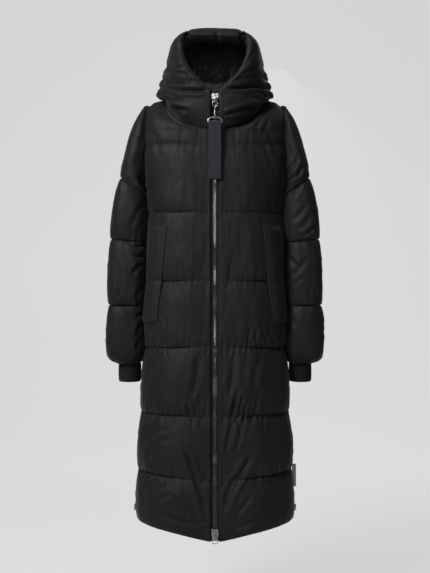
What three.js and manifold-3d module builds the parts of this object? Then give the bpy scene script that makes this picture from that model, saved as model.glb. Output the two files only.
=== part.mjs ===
// Long hooded puffer coat, standing open and hollow as it is worn, zipped up.
// Millimetres, +Z up, the front faces -Y, the wearer's left side is +X.
// The origin lies midway between the two points where the shoulder seams meet the neck.

import * as THREE from 'three';
import { mergeGeometries, mergeVertices } from 'three/addons/utils/BufferGeometryUtils.js';
import Module from 'manifold-3d';

const wasm = await Module();
wasm.setup();

// Driving sizes
const SEAM_GAP = 0.3;
const HALF_GAP = SEAM_GAP / 2;
const SEAM_WALL = 3;
const ZIP_OPENING_HALF = 12.5;
const SECTION_POWER = 2.4;
const QUARTER = Math.PI / 2;

// Quilting lines of the body from the hem up: heights at the side seam, middle front and
// middle back, then the inside half width and inside depths at that line.
const BODY_LINES = [
  { side: -1079, front: -1107, back: -1102, half: 195, fore: 150, aft: 152 },
  { side: -943, front: -960, back: -954, half: 193, fore: 148, aft: 148 },
  { side: -796, front: -801, back: -800, half: 187, fore: 143, aft: 141 },
  { side: -632, front: -627, back: -630, half: 178, fore: 138, aft: 135 },
  { side: -463, front: -463, back: -463, half: 172, fore: 134, aft: 130 },
  { side: -288, front: -293, back: -290, half: 169, fore: 131, aft: 129 },
  { side: -113, front: -129, back: -122, half: 177, fore: 125, aft: 122 },
];
// Where rows of points lie between two quilting lines, as parts of the channel's height
const CHANNEL_STEPS = [
  [0.22, 0.5, 0.78],
  [0.22, 0.5, 0.78],
  [0.22, 0.5, 0.78],
  [0.15, 0.38, 0.7],
  [0.22, 0.5, 0.8],
  [0.2],
];
const CHEST_LINE = 6;
const UNDERARM = 5.4;
const BODY_FILL = 13;
const FRONT_COLUMNS = 9;
const BACK_COLUMNS = 8;
const FRONT_COLUMN_POWER = 1.12;
const PUFF = { sag: 0.9, roundness: 0.6 };
// How the padding thins out beside the zip, the side seam, the armhole and the neck
const FADE = { zipShare: 0.25, zip: 0.35, sideShare: 0.42, side: 0.4, armhole: 0.22, neck: 0.3 };
const ARMHOLE_FLARE = 0.6;
// Sewn lines that part each panel's padding, and each sleeve's, into blocks, and the blocks' names
const BODY_BLOCK_LINES = [3, 5];
const BODY_BLOCKS = ['hem', 'waist', 'chest'];
const SLEEVE_BLOCK_RINGS = [8];
const SLEEVE_BLOCKS = ['upper', 'lower'];

// Armhole: a loop from the underarm to the shoulder point
const ARMHOLE = { low: -222, high: -13, halfDepth: 62, lowX: 173, midX: 177, highX: 167, steps: 10 };

// Neckline: middle front, shoulder neck point, nape
const NECK = { frontY: -118, frontZ: -84, sideX: 114, sideY: 5, sideZ: 2, napeY: 88, napeZ: 8 };
const FRONT_NECK_STEP = 6;
const BACK_NECK_STEP = 7;
const NECK_DIP_POWER = 1.35;

// Sleeve rings from the shoulder to the wrist: the upper outer point, the lower inner point,
// the half depth, and the place in the channel (0 and 1 are quilting lines).
const SLEEVE_RINGS = [
  { outX: 190, outZ: -42, inX: 185, inZ: -230, depth: 66, channel: 0.25 },
  { outX: 208, outZ: -88, inX: 187, inZ: -237, depth: 70, channel: 0.5 },
  { outX: 224, outZ: -142, inX: 187.5, inZ: -241, depth: 72, channel: 0.75 },
  { outX: 238, outZ: -198, inX: 188, inZ: -243, depth: 72, channel: 1 },
  { outX: 246, outZ: -236, inX: 188.5, inZ: -270, depth: 72, channel: 0.22 },
  { outX: 254, outZ: -282, inX: 189, inZ: -304, depth: 72, channel: 0.5 },
  { outX: 259, outZ: -324, inX: 189.5, inZ: -338, depth: 71, channel: 0.78 },
  { outX: 262, outZ: -356, inX: 190, inZ: -364, depth: 70, channel: 1 },
  { outX: 264, outZ: -393, inX: 191, inZ: -399, depth: 70, channel: 0.22 },
  { outX: 266, outZ: -440, inX: 192, inZ: -443, depth: 69, channel: 0.5 },
  { outX: 267, outZ: -488, inX: 193, inZ: -490, depth: 68, channel: 0.78 },
  { outX: 268, outZ: -525, inX: 194, inZ: -525, depth: 67, channel: 1 },
  { outX: 270, outZ: -556, inX: 195, inZ: -556, depth: 66, channel: 0.22 },
  { outX: 271, outZ: -594, inX: 196, inZ: -594, depth: 64, channel: 0.5 },
  { outX: 270, outZ: -632, inX: 197.5, inZ: -632, depth: 60, channel: 0.78 },
  { outX: 262, outZ: -656, inX: 196, inZ: -656, depth: 52, channel: 0.96 },
];
const SLEEVE_FILL = { face: 12, outside: 8, inside: 4 };
const SLEEVE_POWER = 0.9;
const SLEEVE_HEAD_FLARE = 0.9;
const SLEEVE_HEAD_RINGS = 3;
const SLEEVE_HEAD_SLIM = { least: 0.1, rate: 1.6 };
const SLEEVE_HEAD_GAP = 0.7;

// Ribbed cuff
const CUFF = { x: 221, top: -672, bottom: -721, halfX: 25, halfY: 41, wall: 3, ribs: 28, relief: 0.8 };
const SLEEVE_END_WALL = 4;

// Hood and high collar, rows of the outer face from the neck seam to the crown seam: the edge
// at the zip and the face opening, the widest point at the side, the seam with the centre
// strip, the padding, and how deep a fold lies along the row.
const HOOD_ROWS = [
  { edge: [12.5, -132, -66], side: [139, 7], seam: [57, 94, 22], fill: 14, fold: 0 },
  { edge: [12.5, -137, -44], side: [148, 15], seam: [58, 110, 31], fill: 17, fold: 4 },
  { edge: [12.5, -138, -18], side: [144, 32], seam: [59, 117, 45], fill: 18, fold: 0 },
  { edge: [12.5, -136, 9], side: [138, 50], seam: [60, 120, 61], fill: 17, fold: 6 },
  { edge: [37.5, -137, 36], side: [132, 73], seam: [61, 122, 80], fill: 18, fold: 0 },
  { edge: [62, -134, 63], side: [125, 98], seam: [62, 120, 104], fill: 18, fold: 2 },
  { edge: [80, -127, 100], side: [118, 127], seam: [63, 113, 128], fill: 18, fold: 0 },
  { edge: [86, -118, 139], side: [106, 151], seam: [64, 101, 150], fill: 18, fold: 0 },
  { edge: [73, -109, 166], side: [74, 175], seam: [62, 78, 169], fill: 16, fold: 0 },
];
const HOOD_SWING_POWER = 0.9;
const HOOD_FOLD = { spread: 1.4, power: 0.5 };
const COLLAR_ROWS = 4;
const FULLEST_COLLAR_ROW = 3;
const NECK_SEAM_GAP = 0.6;
const NECK_SEAM_WALL = 4.6;
const NECK_SEAM_AIM = { depthShare: 0.5, rise: 60 };
const HOOD_SEAM_WALL = 12;
const HOOD_EDGE_WALL = 9;
const HOOD_EDGE_SINK = 5;
const STRIP_HALF_COLUMNS = 3;
const STRIP_CROWN = 10;
const STRIP_LIFT = { least: 2, rows: 8, turnRows: 3 };
const RIM_WALLS = [16, 27, 32, 29, 24, 20];
const RIM_SINKS = [8, 2, 0, 0, 0, 0];
const RIM_SEAM_SHARE = 0.8;
const CROWN_WALL = 16;
const CROWN_SEAM_SHIFT = 0.35;

// Zip, storm flap and sliders
const TAPE = { innerX: 4.8, outerX: 15.5, thick: 1, clear: 0.5, slope: 0.24 };
const CHAIN = { half: 5.4, thick: 2.4 };
const FLAP = { half: 28, topHalf: 33, wall: 3, top: 38, topSides: 47, topLean: 1.5, below: 12, clear: 0.4 };
const ZIP_ROW_CLEAR = 1;
const SLIDER = { half: 9, thick: 8.6, height: 24, waist: 6.2 };
const SLIDER_OUTLINE = { shoulder: 0.45, crown: 0.85, lobeX: 0.6, lobe: 1.05, notch: 0.9, sides: 4 };
const BAIL = { half: 2, wire: 2.2, rise: 6.6, height: 17, sink: 0.2, foot: 0.4, bevel: 0.7 };
// Corners of the bridge's outside and inside, above its foot and below its head
const BAIL_CORNERS = { low: 3, high: 4, head: 1, lowInside: 3.4, highInside: 4.6, thin: 0.3, headThin: 0.6 };
const TOP_SLIDER_LOW = -18;
const LOW_SLIDER_LOW = -1100;

// Zip pull: ring, swivel hook, half ring and webbing strap
const PULL_RING = { radius: 6.8, wire: 1.3, z: -21 };
const HOOK_WIRE = 1.3;
// The hook's wire: across, towards the back, share of the way to the strap, above the ring's foot
const HOOK_ROUTE = [
  { x: -1.4, back: 3, share: 0, up: -2.4 },
  { x: -1.2, back: 3.1, share: 0, up: 1.5 },
  { x: 0, back: -0.1, share: 0, up: 4.4 },
  { x: 1.6, back: -3.3, share: 0, up: 1.4 },
  { x: 2, back: -3.9, share: 0, up: -3 },
  { x: -0.6, back: -3.5, share: 0.4, up: -8 },
  { x: -1.4, back: -3, share: 0.8, up: -12.5 },
];
const HOOK_MESH = { steps: 20, sides: 4 };
const SWIVEL_BALL = { radius: 3, z: -49.6, neck: 1.5, eyeZ: -56.6, eyeRadius: 3.4, seat: 0.6, foot: 0.9 };
const BALL_MESH = { arcs: 7, rings: 5, sides: 10 };
const HALF_RING = { halfX: 17.9, topZ: -56.4, barZ: -68.5, wire: 1.6, power: 0.8, arcs: 10, spans: 4 };
const STRAP = { half: 15, low: -209, thick: 4.2, around: 1.6, neck: 2.2, sides: 8 };
const LOW_RING = { radius: 7.6, wire: 0.9, z: -1104.2 };
const RING_MESH = { count: 16, sides: 6 };
const EYE_COUNT = 12;
const HALF_RING_SIDES = 8;
const PULL_LAY = 2.3;
const STRAP_CLEAR = 4.5;

// Pocket welts on the front panels, in parts of the panel's width and rows of its height
const WELT = { lines: [3.38, 3.7, 4, 4.22, 4.5, 4.8], topU: [0.4, 0.66], lowU: [0.52, 0.86] };
const WELT_BEND = { from: 0.15, reach: 0.55 };
const WELT_WALL = { edge: 2.5, middle: 7, lift: 1.6, columns: 4, hollowShare: 0.6 };

// Press studs and side tab
const STUD = { radius: 8.5, thick: 4, u: 0.9, v: 0.29, lift: 1.3, sides: 20 };
const TAB = { high: -938, low: -996, out: 8, thick: 1.2, lines: [0.61, 0.78, 1] };

// Colours and surfaces
const FINISHES = {
  shell: { color: 0x2b2828, roughness: 0.55, metalness: 0 },
  rib: { color: 0x17191a, roughness: 0.9, metalness: 0 },
  webbing: { color: 0x2a2c31, roughness: 0.8, metalness: 0 },
  tape: { color: 0x1c1c1e, roughness: 0.7, metalness: 0 },
  gunmetal: { color: 0x6f7276, roughness: 0.25, metalness: 1 },
  silver: { color: 0xc9cacc, roughness: 0.15, metalness: 1 },
  label: { color: 0xe3ded6, roughness: 0.8, metalness: 0 },
};

const coat = new THREE.Group();

function addPiece(name, geometry, finish) {
  const mesh = new THREE.Mesh(geometry, new THREE.MeshStandardMaterial({ ...FINISHES[finish] }));
  mesh.name = name;
  coat.add(mesh);
}

// Small helpers for numbers and vectors
const mix = (a, b, t) => a + (b - a) * t;
const clamp01 = (t) => Math.min(1, Math.max(0, t));
const smooth = (t) => clamp01(t) ** 2 * (3 - 2 * clamp01(t));
const vec = (x, y, z) => new THREE.Vector3(x, y, z);

// A value of a table's column at a fractional row, on a smooth curve through the rows
function along(table, column, place) {
  const row = Math.min(table.length - 2, Math.max(0, Math.floor(place)));
  const t = place - row;
  const at = (index) => table[Math.min(table.length - 1, Math.max(0, index))][column];
  const [a, b, c, d] = [at(row - 1), at(row), at(row + 1), at(row + 2)];
  const bend = (2 * a - 5 * b + 4 * c - d) * t * t + (3 * b - a - 3 * c + d) * t ** 3;
  return b + 0.5 * ((c - a) * t + bend);
}

// The padding's profile across a quilted channel: 0 on the lines, fullest a little low
function puff(part) {
  const sagged = clamp01(part) ** PUFF.sag;
  return (4 * sagged * (1 - sagged)) ** PUFF.roundness;
}

// Unit normals of a grid of points; turn is 1 or -1 so that they point outwards
function gridNormals(grid, turn, closed = false) {
  const rows = grid.length;
  const columns = grid[0].length;
  return grid.map((line, i) => line.map((point, j) => {
    const down = grid[Math.max(0, i - 1)][j];
    const up = grid[Math.min(rows - 1, i + 1)][j];
    const left = closed ? line[(j + columns - 1) % columns] : line[Math.max(0, j - 1)];
    const right = closed ? line[(j + 1) % columns] : line[Math.min(columns - 1, j + 1)];
    const across = right.clone().sub(left);
    const upward = up.clone().sub(down);
    return across.cross(upward).normalize().multiplyScalar(turn);
  }));
}

// A closed wall between two grids of points; faces can be left off where a mirrored half joins
function wall(outer, inner, { closed = false, leftFrom = 0 } = {}) {
  const rows = outer.length;
  const columns = outer[0].length;
  const positions = [];
  const index = [];
  for (const grid of [outer, inner]) {
    for (const line of grid) {
      for (const point of line) positions.push(point.x, point.y, point.z);
    }
  }
  const outerAt = (i, j) => i * columns + (j % columns);
  const innerAt = (i, j) => rows * columns + outerAt(i, j);
  const quad = (a, b, c, d) => index.push(a, b, c, a, c, d);
  const spans = closed ? columns : columns - 1;
  for (let i = 0; i < rows - 1; i += 1) {
    for (let j = 0; j < spans; j += 1) {
      quad(outerAt(i, j), outerAt(i, j + 1), outerAt(i + 1, j + 1), outerAt(i + 1, j));
      quad(innerAt(i, j), innerAt(i + 1, j), innerAt(i + 1, j + 1), innerAt(i, j + 1));
    }
    if (!closed) {
      if (i >= leftFrom) quad(innerAt(i, 0), outerAt(i, 0), outerAt(i + 1, 0), innerAt(i + 1, 0));
      const last = columns - 1;
      quad(outerAt(i, last), innerAt(i, last), innerAt(i + 1, last), outerAt(i + 1, last));
    }
  }
  const top = rows - 1;
  for (let j = 0; j < spans; j += 1) {
    quad(innerAt(0, j), innerAt(0, j + 1), outerAt(0, j + 1), outerAt(0, j));
    quad(outerAt(top, j), outerAt(top, j + 1), innerAt(top, j + 1), innerAt(top, j));
  }
  const geometry = new THREE.BufferGeometry();
  geometry.setAttribute('position', new THREE.Float32BufferAttribute(positions, 3));
  geometry.setIndex(index);
  return geometry;
}

function flipped(geometry) {
  const turned = geometry.clone();
  const index = turned.getIndex();
  for (let i = 0; i < index.count; i += 3) {
    const second = index.getX(i + 1);
    index.setX(i + 1, index.getX(i + 2));
    index.setX(i + 2, second);
  }
  return turned;
}

function mirrored(geometry) {
  const copy = flipped(geometry);
  copy.applyMatrix4(new THREE.Matrix4().makeScale(-1, 1, 1));
  return copy;
}

// Faces point outwards when the enclosed volume is positive
function volumeOf(geometry) {
  const points = geometry.getAttribute('position');
  const index = geometry.getIndex();
  const [a, b, c] = [vec(0, 0, 0), vec(0, 0, 0), vec(0, 0, 0)];
  let volume = 0;
  for (let i = 0; i < index.count; i += 3) {
    a.fromBufferAttribute(points, index.getX(i));
    b.fromBufferAttribute(points, index.getX(i + 1));
    c.fromBufferAttribute(points, index.getX(i + 2));
    volume += a.dot(b.cross(c)) / 6;
  }
  return volume;
}

const facingOut = (geometry) => (volumeOf(geometry) < 0 ? flipped(geometry) : geometry);

function welded(geometry) {
  const bare = geometry.clone();
  bare.deleteAttribute('normal');
  bare.deleteAttribute('uv');
  return mergeVertices(bare, 1e-4);
}

function solidOf(geometry) {
  const bare = welded(geometry);
  return new wasm.Manifold(new wasm.Mesh({
    numProp: 3,
    vertProperties: new Float32Array(bare.getAttribute('position').array),
    triVerts: new Uint32Array(bare.getIndex().array),
  }));
}

function geometryOf(solid) {
  const mesh = solid.getMesh();
  const geometry = new THREE.BufferGeometry();
  geometry.setAttribute('position', new THREE.BufferAttribute(new Float32Array(mesh.vertProperties), 3));
  geometry.setIndex(new THREE.BufferAttribute(new Uint32Array(mesh.triVerts), 1));
  return geometry;
}

const joined = (...pieces) => geometryOf(pieces.map(solidOf).reduce((a, b) => a.add(b)));

// Body

function armholeAt(turn) {
  const angle = Math.PI * turn;
  const middle = (ARMHOLE.low + ARMHOLE.high) / 2;
  const halfHeight = (ARMHOLE.high - ARMHOLE.low) / 2;
  const end = turn < 0.5 ? ARMHOLE.lowX : ARMHOLE.highX;
  const x = mix(end, ARMHOLE.midX, Math.sin(angle));
  return vec(x, ARMHOLE.halfDepth * Math.sin(angle), middle - halfHeight * Math.cos(angle));
}

function frontNeckAt(part) {
  const angle = part * QUARTER;
  const rise = (1 - Math.cos(angle)) ** NECK_DIP_POWER;
  return vec(
    mix(ZIP_OPENING_HALF, NECK.sideX, Math.sin(angle)),
    mix(NECK.sideY, NECK.frontY, Math.cos(angle)),
    mix(NECK.frontZ, NECK.sideZ, rise),
  );
}

function backNeckAt(part) {
  const angle = part * QUARTER;
  return vec(
    NECK.sideX * Math.sin(angle),
    mix(NECK.sideY, NECK.napeY, Math.cos(angle)),
    mix(NECK.sideZ, NECK.napeZ, Math.cos(angle)),
  );
}

// Rows of a body panel from the hem to the shoulder seam, as a line number and an armhole turn
function bodyRows() {
  const rows = [];
  CHANNEL_STEPS.forEach((steps, line) => {
    rows.push({ line, turn: 0 });
    for (const step of steps) rows.push({ line: line + step, turn: 0 });
  });
  for (let step = 0; step <= ARMHOLE.steps; step += 1) {
    const turn = step / ARMHOLE.steps;
    const line = turn < 0.5 ? mix(UNDERARM, CHEST_LINE, turn * 2) : CHEST_LINE + (turn - 0.5) * 2;
    rows.push({ line, turn, step });
  }
  return rows;
}

const BODY_ROWS = bodyRows();
const UNDERARM_ROW = BODY_ROWS.findIndex((row) => row.step === 0);

// The middle edge of a panel: the centre line up to the neck, then round the neckline
function middleEdge(row, isFront) {
  const line = Math.min(row.line, CHEST_LINE);
  const depth = along(BODY_LINES, isFront ? 'fore' : 'aft', line);
  const height = along(BODY_LINES, isFront ? 'front' : 'back', line);
  const x = isFront ? ZIP_OPENING_HALF : 0;
  const sign = isFront ? -1 : 1;
  const low = vec(x, sign * depth, height);
  if (row.line <= CHEST_LINE) return low;
  const neckTurn = (isFront ? FRONT_NECK_STEP : BACK_NECK_STEP) / ARMHOLE.steps;
  const neckAt = isFront ? frontNeckAt : backNeckAt;
  if (row.turn <= neckTurn) {
    const rise = (row.turn - 0.5) / (neckTurn - 0.5);
    return low.lerp(neckAt(0), rise);
  }
  return neckAt((row.turn - neckTurn) / (1 - neckTurn));
}

function outerEdge(row, isFront) {
  const sign = isFront ? -1 : 1;
  const gap = sign * HALF_GAP;
  if (row.step === undefined) {
    return vec(along(BODY_LINES, 'half', row.line), gap, along(BODY_LINES, 'side', row.line));
  }
  const point = armholeAt(row.turn);
  return vec(point.x, sign * point.y + gap, point.z);
}

// A point of the inside face, part 0 at the middle edge and 1 at the side
function bodyPoint(row, part, isFront) {
  const start = middleEdge(row, isFront);
  const end = outerEdge(row, isFront);
  if (row.turn === 1) start.setY(start.y + (isFront ? -HALF_GAP : HALF_GAP));
  const last = QUARTER * (1 - 0.5 * row.turn);
  const power = 2 / SECTION_POWER;
  const across = (Math.sin(part * last) / Math.sin(last)) ** power;
  const endBack = Math.cos(last) ** power;
  const back = (Math.cos(part * last) ** power - endBack) / (1 - endBack);
  return vec(mix(start.x, end.x, across), mix(end.y, start.y, back), mix(start.z, end.z, across));
}

// How full the padding is across a panel: shallow at the zip, the side and the armhole
function fullness(row, part, isFront) {
  const nearZip = isFront ? mix(FADE.zipShare, 1, smooth(part / FADE.zip)) : 1;
  const nearSide = mix(FADE.sideShare, 1, smooth((1 - part) / FADE.side));
  const atArmhole = row.step === undefined ? 1 : smooth((1 - part) / FADE.armhole);
  const neckStep = isFront ? FRONT_NECK_STEP : BACK_NECK_STEP;
  const atNeck = row.step > neckStep ? smooth(part / FADE.neck) : 1;
  const channel = row.line - Math.floor(row.line);
  return puff(channel) * nearZip * nearSide * atArmhole * atNeck;
}

function bodyPanel(isFront) {
  const columns = isFront ? FRONT_COLUMNS : BACK_COLUMNS;
  const power = isFront ? FRONT_COLUMN_POWER : 1;
  const parts = Array.from({ length: columns + 1 }, (unused, j) => (j / columns) ** power);
  const inner = BODY_ROWS.map((row) => parts.map((part) => bodyPoint(row, part, isFront)));
  const normals = gridNormals(inner, isFront ? 1 : -1);
  BODY_ROWS.forEach((row, i) => {
    const neckStep = isFront ? FRONT_NECK_STEP : BACK_NECK_STEP;
    if (row.step === undefined || row.step <= neckStep) normals[i][0].setX(0).normalize();
    const onSideSeam = row.step === undefined || row.step === 0;
    if (onSideSeam) normals[i][columns].setY(0).normalize();
    else normals[i][columns].add(vec(ARMHOLE_FLARE, 0, 0)).normalize();
    if (row.turn === 1) normals[i].forEach((normal) => normal.setY(0).normalize());
  });
  const outer = inner.map((line, i) => line.map((point, j) => {
    const thick = SEAM_WALL + BODY_FILL * fullness(BODY_ROWS[i], parts[j], isFront);
    return point.clone().addScaledVector(normals[i][j], thick);
  }));
  return { inner, outer, normals, parts };
}

const front = bodyPanel(true);
const back = bodyPanel(false);

// Parts a wall at sewn lines into blocks of padding, a hair's breadth from each other; rise is 1
// where the rows run upwards and -1 where they run down
function blocksOf(outer, inner, cuts, rise, blockOf) {
  const last = outer.length - 1;
  const bounds = [0, ...cuts, last];
  return bounds.slice(1).map((high, k) => {
    const low = bounds[k];
    const cutOut = (grid) => grid.slice(low, high + 1).map((line, i) => {
      const atLow = i === 0 && low > 0 ? HALF_GAP : 0;
      const atHigh = i === high - low && high < last ? -HALF_GAP : 0;
      return line.map((point) => point.clone().setZ(point.z + rise * (atLow + atHigh)));
    });
    return blockOf(cutOut(outer), cutOut(inner), low);
  });
}

function addPair(name, blockNames, blocks) {
  blocks.forEach((block, k) => {
    addPiece(`${name}_left_${blockNames[k]}`, block, 'shell');
    addPiece(`${name}_right_${blockNames[k]}`, mirrored(block), 'shell');
  });
}

function addBody() {
  const cuts = BODY_BLOCK_LINES.map((line) => BODY_ROWS.findIndex((row) => row.line === line));
  const frontBlock = (outer, inner) => facingOut(wall(outer, inner));
  addPair('front', BODY_BLOCKS, blocksOf(front.outer, front.inner, cuts, 1, frontBlock));
  const napeRow = UNDERARM_ROW + BACK_NECK_STEP;
  const backBlock = (outer, inner, low) => {
    const half = flipped(wall(outer, inner, { leftFrom: napeRow - low }));
    return facingOut(welded(mergeGeometries([half, mirrored(half)])));
  };
  const backBlocks = blocksOf(back.outer, back.inner, cuts, 1, backBlock);
  backBlocks.forEach((block, k) => addPiece(`back_${BODY_BLOCKS[k]}`, block, 'shell'));
}

// Sleeves and cuffs

// Ring points run from the underarm over the front to the shoulder and down the back
function ringOf(outX, outZ, inX, inZ, depth, power, count) {
  return Array.from({ length: count }, (unused, k) => {
    const angle = (2 * Math.PI * k) / count;
    const upward = (1 - Math.sign(Math.cos(angle)) * Math.abs(Math.cos(angle)) ** power) / 2;
    const side = Math.sign(Math.sin(angle)) * Math.abs(Math.sin(angle)) ** power;
    return vec(mix(inX, outX, upward), -depth * side, mix(inZ, outZ, upward));
  });
}

// The armhole edge of the body's outer face, in the same order as a ring
function armholeRing() {
  const last = (panel, step) => panel.outer[UNDERARM_ROW + step][panel.parts.length - 1];
  const ring = [];
  for (let step = 0; step <= ARMHOLE.steps; step += 1) ring.push(last(front, step).clone());
  for (let step = ARMHOLE.steps - 1; step > 0; step -= 1) ring.push(last(back, step).clone());
  ring.forEach((point) => point.setX(point.x + SLEEVE_HEAD_GAP));
  ring[0].setY(0);
  ring[ARMHOLE.steps].setY(0);
  return ring;
}

const RING_POINTS = 2 * ARMHOLE.steps;

function sleeveBlocks() {
  const rings = [armholeRing()];
  for (const ring of SLEEVE_RINGS) {
    rings.push(ringOf(ring.outX, ring.outZ, ring.inX, ring.inZ, ring.depth, SLEEVE_POWER, RING_POINTS));
  }
  rings.push(ringOf(
    CUFF.x + CUFF.halfX,
    CUFF.top,
    CUFF.x - CUFF.halfX,
    CUFF.top,
    CUFF.halfY,
    1,
    RING_POINTS,
  ));
  const normals = gridNormals(rings, -1, true);
  const centre = armholeAt(0.5);
  normals[0] = rings[0].map((point) => vec(0, point.y, point.z - centre.z)
    .normalize().setX(SLEEVE_HEAD_FLARE).normalize());
  normals[normals.length - 1].forEach((normal) => normal.setZ(0).normalize());
  const outer = rings.map((ring, i) => ring.map((point, k) => {
    const angle = (2 * Math.PI * k) / RING_POINTS;
    const towardsBody = Math.max(0, Math.cos(angle)) ** 2;
    const away = Math.max(0, -Math.cos(angle)) ** 2;
    const face = SLEEVE_FILL.face * (1 - towardsBody - away);
    const fill = face + SLEEVE_FILL.inside * towardsBody + SLEEVE_FILL.outside * away;
    const channel = i === 0 || i > SLEEVE_RINGS.length ? 0 : SLEEVE_RINGS[i - 1].channel;
    const isEnd = i > SLEEVE_RINGS.length;
    const facingBody = Math.min(0, normals[i][k].x);
    const slimmed = Math.max(SLEEVE_HEAD_SLIM.least, 1 + SLEEVE_HEAD_SLIM.rate * facingBody);
    const slim = i <= SLEEVE_HEAD_RINGS ? slimmed : 1;
    const thick = isEnd ? SLEEVE_END_WALL : SEAM_WALL + fill * slim * puff(channel);
    return point.clone().addScaledVector(normals[i][k], thick);
  }));
  const blockOf = (outside, inside) => facingOut(wall(outside, inside, { closed: true }));
  return blocksOf(outer, rings, SLEEVE_BLOCK_RINGS, -1, blockOf);
}

function cuffGeometry() {
  const columns = CUFF.ribs * 2;
  const heights = [CUFF.top - SEAM_GAP, (CUFF.top + CUFF.bottom) / 2, CUFF.bottom];
  const ringAt = (z, grow) => Array.from({ length: columns }, (unused, k) => {
    const angle = (2 * Math.PI * k) / columns;
    const out = grow(k);
    return vec(CUFF.x + (CUFF.halfX + out) * Math.cos(angle), (CUFF.halfY + out) * Math.sin(angle), z);
  });
  const ribbed = (k) => CUFF.wall + (k % 2 === 0 ? CUFF.relief : -CUFF.relief);
  const outer = heights.map((z) => ringAt(z, ribbed));
  const inner = heights.map((z) => ringAt(z, () => 0));
  return facingOut(wall(outer, inner, { closed: true }));
}

function addSleeves() {
  const cuff = cuffGeometry();
  addPair('sleeve', SLEEVE_BLOCKS, sleeveBlocks());
  addPiece('cuff_left', cuff, 'rib');
  addPiece('cuff_right', mirrored(cuff), 'rib');
}

// Hood

// Neck seam from the zip over the shoulder to the centre strip, with a midpoint on each chord
function neckSeam() {
  const points = [];
  for (let step = FRONT_NECK_STEP; step <= ARMHOLE.steps; step += 1) {
    points.push({ at: front.inner[UNDERARM_ROW + step][0], up: front.normals[UNDERARM_ROW + step][0] });
  }
  points[points.length - 1] = {
    at: points[points.length - 1].at.clone().setY(NECK.sideY),
    up: points[points.length - 1].up,
  };
  for (let step = ARMHOLE.steps - 1; step >= BACK_NECK_STEP; step -= 1) {
    points.push({ at: back.inner[UNDERARM_ROW + step][0], up: back.normals[UNDERARM_ROW + step][0] });
  }
  return points.map((point, k) => {
    const next = points[Math.min(points.length - 1, k + 1)].at;
    const previous = points[Math.max(0, k - 1)].at;
    const away = point.up.clone().cross(next.clone().sub(previous)).normalize();
    const { depthShare, rise } = NECK_SEAM_AIM;
    if (away.dot(vec(-point.at.x, -point.at.y * depthShare, rise)) < 0) away.negate();
    const inside = point.at.clone().addScaledVector(away, NECK_SEAM_GAP);
    if (k === points.length - 1) inside.setX(0);
    const outside = inside.clone().addScaledVector(point.up, NECK_SEAM_WALL);
    if (k === points.length - 1) outside.setX(0);
    return { inside, outside };
  });
}

const NECK_SEAM = neckSeam();
const NAPE = NECK_SEAM[NECK_SEAM.length - 1];
const SIDE_NECK = NECK_SEAM.slice(0, -1);
const HOOD_ANGLES = [0, 27, 54, 81, 108, 144, 180];

function withMidpoints(list, between) {
  const result = [];
  list.forEach((item, k) => {
    if (k > 0) result.push(between(list[k - 1], item));
    result.push(item);
  });
  return result;
}

const HOOD_TURNS = withMidpoints(HOOD_ANGLES, (a, b) => (a + b) / 2)
  .map((degrees) => THREE.MathUtils.degToRad(degrees));

function hoodRowPoint(row, turn) {
  const part = turn / Math.PI;
  const swing = Math.sin(turn);
  const [sideX, sideZ] = row.side;
  const outwards = sideX - (row.edge[0] + row.seam[0]) / 2;
  const upwards = sideZ - (row.edge[2] + row.seam[2]) / 2;
  return vec(
    mix(row.edge[0], row.seam[0], part) + outwards * swing ** HOOD_SWING_POWER,
    mix(row.edge[1], row.seam[1], (1 - Math.cos(turn)) / 2),
    mix(row.edge[2], row.seam[2], part) + upwards * swing,
  );
}

function midpoint(a, b) {
  return a.clone().lerp(b, 0.5);
}

function hoodGrids() {
  const neckOutside = withMidpoints(SIDE_NECK.map((seam) => seam.outside), midpoint);
  const neckInside = withMidpoints(SIDE_NECK.map((seam) => seam.inside), midpoint);
  const rows = HOOD_ROWS.map((row) => HOOD_TURNS.map((turn) => hoodRowPoint(row, turn)));
  const face = [neckOutside, ...rows];
  const last = HOOD_TURNS.length - 1;
  const top = face.length - 1;
  const sideNormals = gridNormals(face, 1);

  // The seam of the centre strip: along the top from the rim, then down the back to the neck
  const path = [];
  for (let j = 0; j <= last; j += 1) path.push([top, j]);
  for (let i = top - 1; i >= 0; i -= 1) path.push([i, last]);
  const strip = path.map(([i, j], k) => {
    const edge = face[i][j];
    const isNeck = k === path.length - 1;
    const topShare = 1 - clamp01((k - last) / STRIP_LIFT.turnRows);
    const lift = STRIP_CROWN * smooth(k / STRIP_LIFT.rows);
    const line = [];
    for (let c = -STRIP_HALF_COLUMNS; c <= STRIP_HALF_COLUMNS; c += 1) {
      const w = c / STRIP_HALF_COLUMNS;
      const crown = 1 - w * w;
      if (isNeck) {
        const chord = NAPE.outside.clone().lerp(edge, Math.abs(w));
        line.push(vec(edge.x * w, chord.y, chord.z));
      } else {
        const backward = lift * (1 - topShare);
        const upward = (lift * topShare + STRIP_LIFT.least) * topShare;
        line.push(vec(edge.x * w, edge.y + backward * crown, edge.z + upward * crown));
      }
    }
    return line;
  });
  const stripNormals = gridNormals(strip, 1);
  const across = strip[0].length - 1;
  path.forEach(([i, j], k) => {
    const shared = sideNormals[i][j].clone().add(stripNormals[k][across]).normalize();
    sideNormals[i][j].copy(shared);
    stripNormals[k][across].copy(shared);
    stripNormals[k][0].set(-shared.x, shared.y, shared.z);
  });
  return { face, sideNormals, neckInside, strip, stripNormals, path, last, top };
}

const hood = hoodGrids();

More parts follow.
